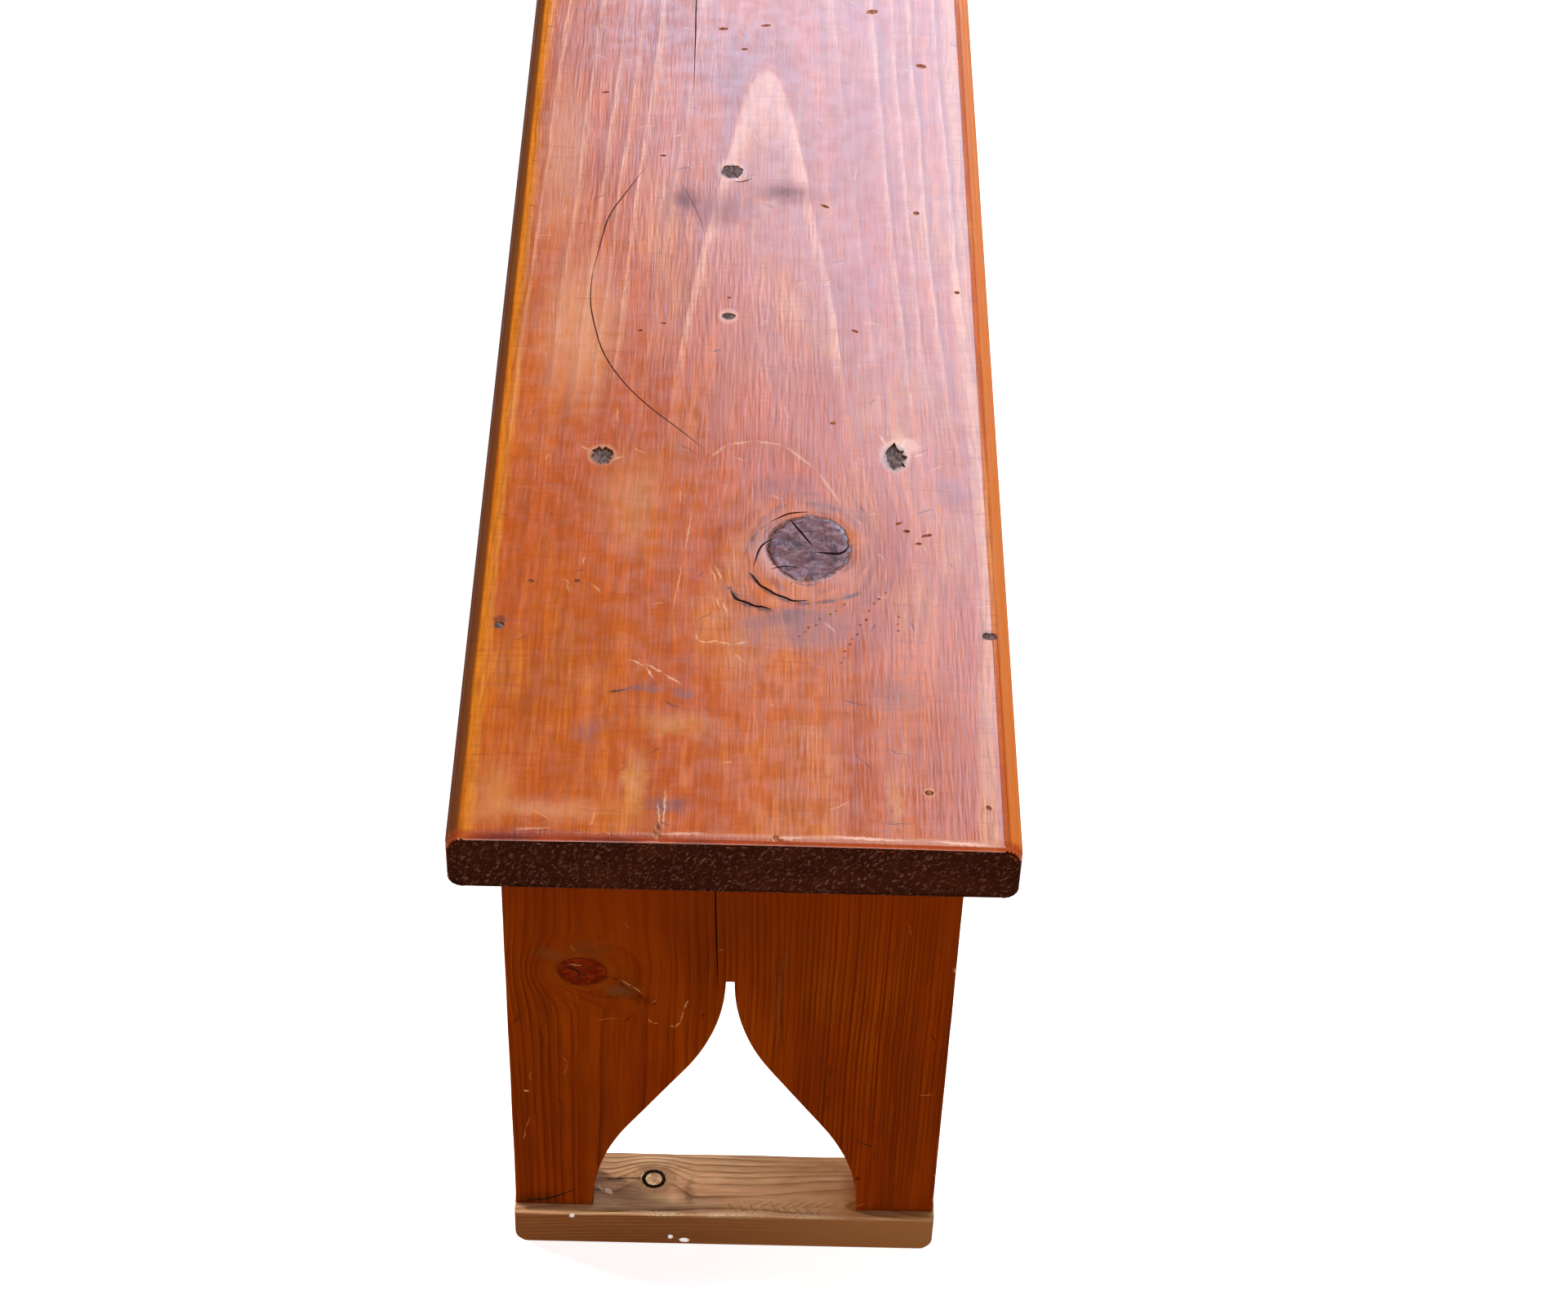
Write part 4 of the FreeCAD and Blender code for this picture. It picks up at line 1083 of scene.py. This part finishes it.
nailPlaces = []
for x, y in nailXYs():
    drop = stoppingLook["nailDrop"] + seat["crown"] * x * x * mm
    nailPlaces.append((x, y, *nailHoleAt(x, y, stoppingLook["nailRadius"]), drop))
nailStopping = makeStopping("nailStopping", nailPlaces)
drop = stoppingLook["holeDrop"]
holePlaces = [(*place, radius, stretch, drop) for place, radius, stretch, seed in seat["oldHoles"]]
holeStopping = makeStopping("holeStopping", holePlaces)
for piece, node in ((nailStopping, "seat_nail_fillers"), (holeStopping, "old_hole_fillers")):
    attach(piece, "root")
    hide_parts(node)
print("stopping made")


# The legs: board ends with an ogee arch, a shake above it and a red knot

leg = {
    "archBase": 156, "archTip": 4, "archApex": 236, "archStraight": 60, "archSteps": 14,
    "archBelow": 5, "cutPast": 10,  # how far the cutters reach below the leg, and out of its faces
    "arrisEase": 1.3, "netStep": 12, "wear": (50, 0.5),
    "mortisePlay": 0.2,
    # The drying shake from the seat down to the arch: across, up; width, depth
    "shake": ([(-10, 430), (-9.4, 360), (-9.1, 300), (-7.6, 262), (-6.6, 228)], 0.9, 4),
    # Grooves on the near leg's face: points, width, depth
    "cracks": [
        ([(-70.5, 252), (-76, 248), (-81, 243.5)], 1.3, 1.0),
        ([(-93, 247), (-88, 246), (-82.5, 243.2), (-81.8, 232.5)], 1.3, 1.0),
        ([(-126, 32.5), (-110, 35), (-98, 39), (-88, 46)], 1.8, 1.4),
        ([(76, 97.3), (80, 94.5), (87.3, 92.3)], 1.6, 0.8),
    ],
}
legFoot = footHigh.z / mm


def archPoints():
    # One side from the foot up: a bend, a straight run and a bend the other way
    base, tip, apex = leg["archBase"] / 2, leg["archTip"] / 2, leg["archApex"]
    run, rise, straight = base - tip, apex - legFoot, leg["archStraight"]
    bend = (run ** 2 + rise ** 2 - straight ** 2) / (4 * run)
    turn = math.atan2(rise, 2 * bend - run) - math.atan2(straight, 2 * bend)
    angles = [turn * i / leg["archSteps"] for i in range(leg["archSteps"] + 1)]
    lower = [(base - bend + bend * math.cos(a), legFoot + bend * math.sin(a)) for a in angles]
    upper = [(tip + bend - bend * math.cos(a), apex - bend * math.sin(a)) for a in reversed(angles)]
    return lower + upper


def archCutter(low, high):
    # A flat outline pushed through the leg
    past = leg["cutPast"] * mm
    side = archPoints()
    side.insert(0, (side[0][0], legFoot - leg["archBelow"]))
    outline = side + [(-x, z) for x, z in reversed(side)]
    deselectAll()
    bpy.ops.mesh.primitive_circle_add(vertices=len(outline), radius=0.1, fill_type="NGON")
    arch = bpy.context.object
    for vertex, (x, z) in zip(arch.data.vertices, outline):
        vertex.co = (x * mm, low - past, z * mm)
    bpy.ops.object.mode_set(mode="EDIT")
    bpy.ops.mesh.select_all(action="SELECT")
    bpy.ops.mesh.extrude_region_move(TRANSFORM_OT_translate={"value": (0, high - low + 2 * past, 0)})
    bpy.ops.mesh.select_all(action="SELECT")
    bpy.ops.mesh.normals_make_consistent(inside=False)
    endEdit()
    return arch


def tenonSize():
    # How wide and how high the rail is past the middle of the legs, where only its tenons are
    middle = abs(legLow.y + legHigh.y) / 2
    tips = [v.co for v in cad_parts["centre_rail"].data.vertices if abs(v.co.y) > middle]
    across, up = [tip.x for tip in tips], [tip.z for tip in tips]
    return (min(across), max(across)), (min(up), max(up))


def makeLeg(end, finish):
    low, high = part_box(f"{end}_leg")
    board = addBox(f"{end}LegBoard", low, high)
    cutAway(board, archCutter(low.y, high.y))
    # Every long arris and the arch's two edges are eased
    onFace = lambda v: min(abs(v.co.y - low.y), abs(v.co.y - high.y)) < 1e-6
    lowest, highest = low.z + 1e-5, high.z - 1e-5
    roundEdges(
        board, leg["arrisEase"] * mm, 2,
        lambda e: onFace(e.verts[0]) and onFace(e.verts[1]) and abs(e.verts[0].co.y - e.verts[1].co.y) < 1e-6
        and not all(v.co.z < lowest for v in e.verts) and not all(v.co.z > highest for v in e.verts),
    )
    step = leg["netStep"] * mm
    slicePiece(board, 2, between(low.z, high.z, step))
    slicePiece(board, 0, between(low.x, high.x, step))
    weather(board, *leg["wear"], lambda p: True)
    finishWith(board, finish)
    (left, right), (under, over) = tenonSize()
    play, past = leg["mortisePlay"] * mm, leg["cutPast"] * mm
    cutAway(board, addBox(
        "mortise", (left - play, low.y - past, under - play), (right + play, high.y + past, over + play),
    ))
    return board


def crackLeg(board):
    along, outward = (0, 1, 0), (0, -1, 0)
    points, width, depth = leg["shake"]
    cutters = [grooveCutter([onLeg(x, z) for x, z in points], width, depth, along)]
    for points, width, depth in leg["cracks"]:
        points = [settle(board, onLeg(x, z), outward) for x, z in points]
        cutters.append(grooveCutter(points, width, depth, along))
    cutAll(board, cutters, darkInside("legCrack", (0.02, 0.006, 0.003), (0.05, 0.015, 0.006)))


legFace = legLow.y / mm
legWood = {
    "axes": "XZY", "surface": legFace, "length": 457.0, "start": 0.0,
    "pithAcross": -60.0, "pithDeepest": 100.0, "pithDepth": [(0, 0.6), (0.5, 0.61), (1, 0.6)],
    "slowScale": (0.012, 0.004, 0.012), "slowSway": 7.0,
    "quickScale": (0.05, 0.02, 0.05), "quickSway": 2.0,
    "spacing": 2.7,
    "ringProfile": [(0.0, 0.0), (0.3, 0.05), (0.7, 0.45), (0.9, 1.0), (0.97, 0.9), (1.0, 0.0)],
    "lineColor": (0.06, 0.007, 0.0007), "lineLow": 0.3, "lineHigh": 0.95,
    "bandScale": (0.07, 0.002, 0), "bandAmount": 0.45,
    "streakScale": (0.3, 0.009, 0.3), "streakAmount": 0.35, "lightStreak": 0.25,
    "fibreScale": (0.9, 0.03, 0.9), "fibreAmount": 0.3,
    "patchScale": (0.014, 0.006, 0.014),
    "rippleScale": (0.05, 0.3, 0.05), "rippleAmount": 0.0,
    # The leg's colours: the seat's stain darkened as painted shade, as on faces turned from the light
    "body": (0.185, 0.0265, 0.0008), "redder": (0.155, 0.019, 0.0008),
    "brown": (0.105, 0.017, 0.0012), "brownAmount": 0.6,
    "pale": (0.24, 0.044, 0.0012), "paleAmount": 0.5,
    "dark": (0.075, 0.009, 0.0008),
    # Darker towards the top: painted shade under the seat
    "shades": [(1, 215.0, 340.0, (0.11, 0.014, 0.0008), 0.6)],
    "paint": [],
    "fibreHeight": 0.06, "waveHeight": 0.3,
    "roughLow": 0.4, "roughHigh": 0.55, "specular": 0.0,
    "knots": [{
        "across": -81.4, "along": 243.0, "surface": legFace, "wide": 13.2, "long": 11.5,
        "push": 0.95, "swirl": 3.0, "lift": 7.0, "wobble": 3.0,
        "haloColor": (0.16, 0.03, 0.0015), "haloAmount": 0.5, "haloReach": 1.6,
        "rings": [(0.0, 0.0), (0.08, 0.6), (0.12, 0.0), (0.3, 0.3), (0.34, 0.0), (0.6, 0.2), (0.7, 0.0)],
        "ringColor": (0.08, 0.01, 0.001),
        "coreColor": (0.09, 0.006, 0.001), "coreLight": (0.15, 0.016, 0.002),
        "coreDark": (0.05, 0.004, 0.001),
        "streakScale": (1.5, 2.5, 0.2),
        "outline": 0.7, "outlineColor": (0.05, 0.006, 0.001), "height": -0.3,
    }],
    "marks": [
        {"smeared": True, "color": (0.09, 0.045, 0.016), "spots": [
            (-60, 228, legFace, 12, 9, 0, 0.9, 0.55), (-98, 258, legFace, 14, 7, 0, 0.9, 0.35),
            (-76, 262, legFace, 16, 9, 0, 0.9, 0.3), (28, 230, legFace, 3, 70, 0, 0.9, 0.25),
        ]},
        {"smeared": True, "color": (0.045, 0.008, 0.001), "spots": [
            (-110, 36, legFace, 20, 9, 0, 0.9, 0.7), (-52, 222, legFace, 16, 7, -35, 0.9, 0.5),
            (56, 150, legFace, 3, 70, 0, 0.9, 0.35), (-104, 180, legFace, 3, 60, 0, 0.9, 0.35),
        ]},
        {"smeared": False, "color": (0.035, 0.006, 0.001), "spots": (
            strokes([(-79, 232), (-72, 237.6), (-66, 238.8), (-61, 236), (-58, 230)], 2.0, legFace, 0.75)
            + strokes([(-63, 234), (-52, 226), (-46, 219), (-40, 216)], 2.4, legFace, 0.5)
            + strokes([(25.8, 290), (28, 230), (31.4, 169)], 2.4, legFace, 0.45)
            + [(-14.7, 207.8, legFace, 1.5, 1.5, 0, 0.5, 0.8), (77.7, 61.5, legFace, 2.0, 2.2, 0, 0.5, 0.8)]
        )},
        {"smeared": False, "color": (0.36, 0.15, 0.06), "spots": (
            strokes([(-60.4, 236.9), (-54, 231.5), (-48.3, 225.5)], 1.1, legFace, 0.75)
            + strokes([(-23, 221), (-25.5, 212), (-27, 202), (-30.5, 196.8), (-33, 198.5)], 1.2, legFace, 0.7)
            + strokes([(-45.5, 203.6), (-43, 200.3), (-39.5, 199.8)], 1.2, legFace, 0.7)
            + strokes([(-113, 115), (-116, 103), (-118, 90)], 1.2, legFace, 0.35)
            + strokes([(-93, 152), (-91, 163), (-94, 170)], 1.1, legFace, 0.3)
            + [
                (-114.7, 137.6, legFace, 2.2, 1.1, 0, 0.5, 0.9),
                (123.2, 250.8, legFace, 1.6, 2.2, 0, 0.4, 0.9),
                (124, 66, legFace, 1.4, 2.6, 0, 0.4, 0.8), (124.4, 42, legFace, 1.6, 5.0, 0, 0.4, 0.8),
                (-85, 248.4, legFace, 4.5, 0.7, -8, 0.5, 0.6),
            ]
        )},
    ],
    "scratches": [
        {"cell": 60, "shift": (1.1, 4.7), "turn": 6.28, "short": 1.5, "long": 6, "width": 0.6, "share": 0.5,
         "strength": 0.6, "color": (0.30, 0.09, 0.02), "height": -0.05},
        {"cell": 60, "shift": (8.3, 2.9), "turn": 6.28, "short": 1.5, "long": 6, "width": 0.8, "share": 0.5,
         "strength": 0.6, "color": (0.04, 0.006, 0.002), "height": -0.05},
    ],
}
# The legs' material, its colour darkened as painted shade
legStainAndShade = boardWood("waxedLegAndShade", legWood)
nearLeg = makeLeg("near", legStainAndShade)
farLeg = makeLeg("far", legStainAndShade)
crackLeg(nearLeg)
for board, node in ((nearLeg, "near_leg"), (farLeg, "far_leg")):
    smoothShade(board)
    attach(board, "root")
    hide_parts(node)
print("legs made,", len(nearLeg.data.polygons), "faces each")


# The foot battens: bare, worn pine, one with a dead knot in its loose ring

foot = {
    "endRound": 8, "arris": 1.6, "netStep": 4, "netEase": 0.2, "sideEase": 2, "wear": (20, 0.7),
    "wearAbove": 1,  # the face on the floor stays flat
    # The gap round the dead knot and the crack beside it, from the bench's middle
    "knot": (-42.6, -795.7), "gapRadius": 6.1, "gapWidth": 2.4, "gapShape": (1, 0.95, 2.6), "gapDown": 0.4,
    "crack": ([(-76, -795.2), (-66, -796.4), (-58, -795.2), (-50.5, -795.9)], 0.8, 1.0),
}
footTop = footHigh.z / mm


def growthArcs(count, step):
    # Broken arcs of late wood in a row along the batten
    arc = [(-812, 2), (-817.5, 5), (-819.5, 9), (-815, 14), (-810, 24)]
    spots = []
    for i in range(count):
        points = [(y, x + step * i) for y, x in arc]
        points[0] = (points[0][0] - i % 2, points[0][1])
        spots += strokes(points, 1.3, footTop, 0.5)
    return spots


footWood = dict(legWood)
footWood.update({
    "axes": "YXZ", "surface": footTop, "length": 260.0, "start": 0.5,
    "pithAcross": -812.0, "pithDepth": [(0, 0.10), (0.5, 0.16), (1, 0.08)],
    "slowScale": (0.03, 0.01, 0.03), "slowSway": 8.0,
    "quickScale": (0.12, 0.03, 0.12), "quickSway": 1.6,
    "spacing": 3.4,
    "lineColor": (0.15, 0.065, 0.026), "lineLow": 0.4, "lineHigh": 0.95,
    "bandScale": (0.2, 0.006, 0), "bandAmount": 0.35,
    "streakScale": (0.5, 0.02, 0.5), "streakAmount": 0.35, "lightStreak": 0.2,
    "fibreScale": (1.2, 0.06, 1.2), "fibreAmount": 0.3,
    "patchScale": (0.05, 0.02, 0.05),
    "body": (0.72, 0.42, 0.20), "redder": (0.70, 0.36, 0.18),
    "brown": (0.36, 0.20, 0.10), "brownAmount": 0.6,
    "pale": (0.90, 0.63, 0.36), "paleAmount": 0.6,
    "dark": (0.22, 0.11, 0.05),
    "shades": [
        # The faces below the top darkened as painted shade; the top darker and the front lighter to the right
        (2, 29.8, 27.2, (0.115, 0.030, 0.005), 0.92), (1, -50, 90, (0.22, 0.085, 0.028), 0.72),
    ],
    "roughLow": 0.6, "roughHigh": 0.75, "specular": 0.0,
    "knots": [{
        "across": foot["knot"][1], "along": foot["knot"][0], "surface": footTop, "wide": 6.6, "long": 8.5,
        "push": 0.95, "swirl": 3.5, "lift": 6.0, "wobble": 1.5,
        "haloColor": (0.36, 0.20, 0.10), "haloAmount": 0.6, "haloReach": 1.8,
        "rings": [(0.0, 0.0), (0.3, 0.4), (0.4, 0.0)], "ringColor": (0.10, 0.05, 0.02),
        "coreColor": (0.42, 0.24, 0.11), "coreLight": (0.80, 0.56, 0.30), "coreDark": (0.30, 0.16, 0.08),
        "streakScale": (1.0, 1.5, 0.2),
        "outline": 0.5, "outlineColor": (0.10, 0.045, 0.02), "height": 0.1,
    }],
    "scratches": [],
    # On its top: y, x, depth, half sizes, turn, softness, strength
    "marks": [
        # Dark smudges; the two at the right, beside the arch, are a painted shadow of the leg
        {"smeared": True, "color": (0.14, 0.07, 0.035), "spots": [
            (-804, -20, footTop, 12, 4, 0, 0.9, 0.6), (-785, 60, footTop, 6, 24, 0, 0.9, 0.5),
            (-798, 76, footTop, 16, 9, 0, 0.9, 0.6), (-796, -62, footTop, 3, 14, 0, 0.9, 0.5),
            (-788, -40, footTop, 3, 30, 0, 0.9, 0.3),
        ]},
        {"smeared": False, "color": (0.06, 0.028, 0.014), "spots": (
            strokes([(-795.3, -76), (-796.5, -66), (-795.2, -58), (-795.8, -49)], 1.3, footTop, 0.85)
            + growthArcs(8, 6.4)
        )},
        {"smeared": False, "color": (0.95, 0.74, 0.50), "spots": (
            [(-805.4, -69.5, footTop, 2.2, 3.4, 30, 0.5, 0.7)]
            + strokes([(-801, -76), (-806, -72), (-808, -66)], 1.4, footTop, 0.5)
            + strokes([(-819.6, -60), (-820.2, -20), (-819.8, 30), (-820.2, 76)], 1.8, 30.4, 0.5)
        )},
    ],
    # Spots of white paint low on its front
    "paint": [{"color": (0.85, 0.80, 0.80), "reach": 2.4, "spots": [
        (-821, -23.6, 4.2, 3, 3.8, 0, 0.4, 1.0), (-821, -32, 7.2, 3, 1.8, 0, 0.4, 0.9),
        (-821, -90.6, 26.5, 3, 1.8, 0, 0.4, 0.7),
    ]}],
})


def makeFoot(end):
    low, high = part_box(f"{end}_foot_batten")
    batten = addBox(f"{end}FootBatten", low, high)
    lowest = low.z + 1e-5
    alongBench = lambda edge: abs(edge.verts[0].co.y - edge.verts[1].co.y) > 10 * mm
    roundEdges(batten, foot["endRound"] * mm, 5, lambda e: alongBench(e) and e.verts[0].co.z < lowest)
    roundEdges(batten, foot["arris"] * mm, 2, lambda e: e.calc_face_angle(0) > 1)
    step = foot["netStep"] * mm
    off = (foot["endRound"] + foot["netEase"]) * mm
    ease = foot["sideEase"] * mm
    slicePiece(batten, 0, between(low.x + off, high.x - off, step))
    slicePiece(batten, 1, between(low.y + ease, high.y - ease, step))
    slicePiece(batten, 2, between(low.z + ease, high.z - ease, step))
    weather(batten, *foot["wear"], lambda p: p.z > low.z + foot["wearAbove"] * mm)
    return batten


def looseKnot(batten):
    # The gap that a shrunken knot leaves round itself, and the crack that runs up to it
    up = (0, 0, 1)
    deselectAll()
    bpy.ops.mesh.primitive_torus_add(
        major_segments=32, minor_segments=8,
        major_radius=foot["gapRadius"] * mm, minor_radius=foot["gapWidth"] / 2 * mm,
    )
    gap = bpy.context.object
    place = onFootTop(*foot["knot"], -foot["gapDown"])
    gap.data.transform(Matrix.Translation(place) @ Matrix.Diagonal((*foot["gapShape"], 1)))
    points, width, depth = foot["crack"]
    points = [settle(batten, onFootTop(x, y), up) for x, y in points]
    crack = grooveCutter(points, width, depth, up)
    cutAll(batten, [gap, crack], darkInside("looseRing", (0.02, 0.01, 0.006), (0.05, 0.025, 0.014)))


nearFoot = makeFoot("near")
farFoot = makeFoot("far")
for batten, node in ((nearFoot, "near_foot_batten"), (farFoot, "far_foot_batten")):
    finishWith(batten, boardWood(batten.name + "Wood", footWood))
    if batten == nearFoot:
        looseKnot(batten)
    smoothShade(batten)
    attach(batten, "root")
    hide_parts(node)
print("foot battens made,", len(nearFoot.data.polygons), "faces each")


# Pieces that stay as the frame has them, with their own finish

hiddenWood = dict(footWood)
hiddenWood.update({
    "body": (0.40, 0.16, 0.05), "redder": (0.34, 0.12, 0.035), "knots": [], "spacing": 5.0, "shades": [],
    "marks": [], "paint": [],
})
for nodes, axes, length in (
    (("near_seat_batten", "far_seat_batten"), "YXZ", 300.0),
    (("centre_rail",), "XYZ", 1830.0),
):
    material = boardWood("darkPine" + axes, dict(hiddenWood, axes=axes, length=length))
    for node in nodes:
        finishWith(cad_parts[node], material)


def plainFinish(name, dark, light, scale, rough, metal=0.0):
    material, tree, shader, place = newMaterial(name)
    grey = noiseOn(tree, place, scale, 3.0, 0.6)
    plug(tree, shader.inputs["Base Color"], blend(tree, fade(tree, grey, 0.35, 0.65), dark, light))
    plug(tree, shader.inputs["Roughness"], fade(tree, grey, 0.3, 0.7, rough, rough + 0.2))
    shader.inputs["Metallic"].default_value = metal
    bumpFrom(tree, shader, grey, 0.2 * mm)
    return material


iron = plainFinish("dullIron", (0.05, 0.04, 0.035), (0.16, 0.12, 0.10), (0.8, 0.8, 0.8), 0.45, 0.8)
stopping = plainFinish("greyStopping", (0.09, 0.06, 0.055), (0.20, 0.15, 0.145), (0.7, 0.7, 0.7), 0.5)
for name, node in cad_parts.items():
    if name.endswith("_nails"):
        finishWith(node, iron)
    elif name.endswith("_fillers"):
        finishWith(node, stopping)
print("frame's own pieces finished")


# Floor, light and camera

floor = addBox("floor", (-8, -8, -0.02), (8, 8, 0))
floorMaterial, _, floorShader, _ = newMaterial("paleFloor")
floorShader.inputs["Base Color"].default_value = (0.82, 0.82, 0.82, 1)
floorShader.inputs["Roughness"].default_value = 0.9
floorShader.inputs["Emission Color"].default_value = (1, 1, 1, 1)
floorShader.inputs["Emission Strength"].default_value = 0.75
finishWith(floor, floorMaterial)

studio = {
    "world": (0.95, 0.97, 1.0), "worldStrength": 0.06,
    "panels": [
        # Name, place, aim, roll, width, height, watts, colour, spread
        ("overhead", (0.5, -0.2, 2.9), (0.0, -0.3, 0.4), 0, 2.2, 1.0, 44, (1.0, 0.95, 0.88), 180),
        ("rearRight", (1.077, 2.0, 2.046), (0.1, -0.5, 0.457), -42, 2.305, 2.221, 140,
         (0.438, 0.678, 1.0), 180),
        ("frontFill", (-0.5, -3.4, 1.1), (0.0, -0.8, 0.2), 0, 2.0, 1.4, 40, (1.0, 0.97, 0.94), 180),
        ("lowLeft", (-1.0, -0.35, 0.35), (-0.02, -0.8, 0.02), 0, 0.3, 0.2, 0.7, (1.0, 0.95, 0.9), 30),
    ],
}
world = bpy.data.worlds.new("studio")
world.use_nodes = True
world.node_tree.nodes["Background"].inputs[0].default_value = (*studio["world"], 1)
world.node_tree.nodes["Background"].inputs[1].default_value = studio["worldStrength"]
bpy.context.scene.world = world
for name, place, aim, roll, width, height, watts, color, spread in studio["panels"]:
    lamp = bpy.data.lights.new(name, "AREA")
    lamp.shape = "RECTANGLE"
    lamp.size, lamp.size_y = width, height
    lamp.energy = watts
    lamp.color = color
    lamp.spread = math.radians(spread)
    panel = bpy.data.objects.new(name, lamp)
    panel.location = place
    turned = (Vector(aim) - Vector(place)).to_track_quat("-Z", "Y").to_matrix()
    panel.rotation_euler = (turned @ Matrix.Rotation(math.radians(roll), 3, "Z")).to_euler()
    bpy.context.scene.collection.objects.link(panel)

view = {
    "place": (-0.0033, -1.9785, 1.6068),
    "turn": (46.0454, -1.6220, 0.2914),
    "lens": 74.557, "sensor": 36,
}
lens = bpy.data.cameras.new("camera")
lens.lens = view["lens"]
lens.sensor_width = view["sensor"]
camera = bpy.data.objects.new("camera", lens)
camera.location = view["place"]
camera.rotation_euler = [math.radians(angle) for angle in view["turn"]]
bpy.context.scene.collection.objects.link(camera)
bpy.context.scene.camera = camera
bpy.context.scene.view_settings.view_transform = "Standard"

deselectAll()
print("scene ready")
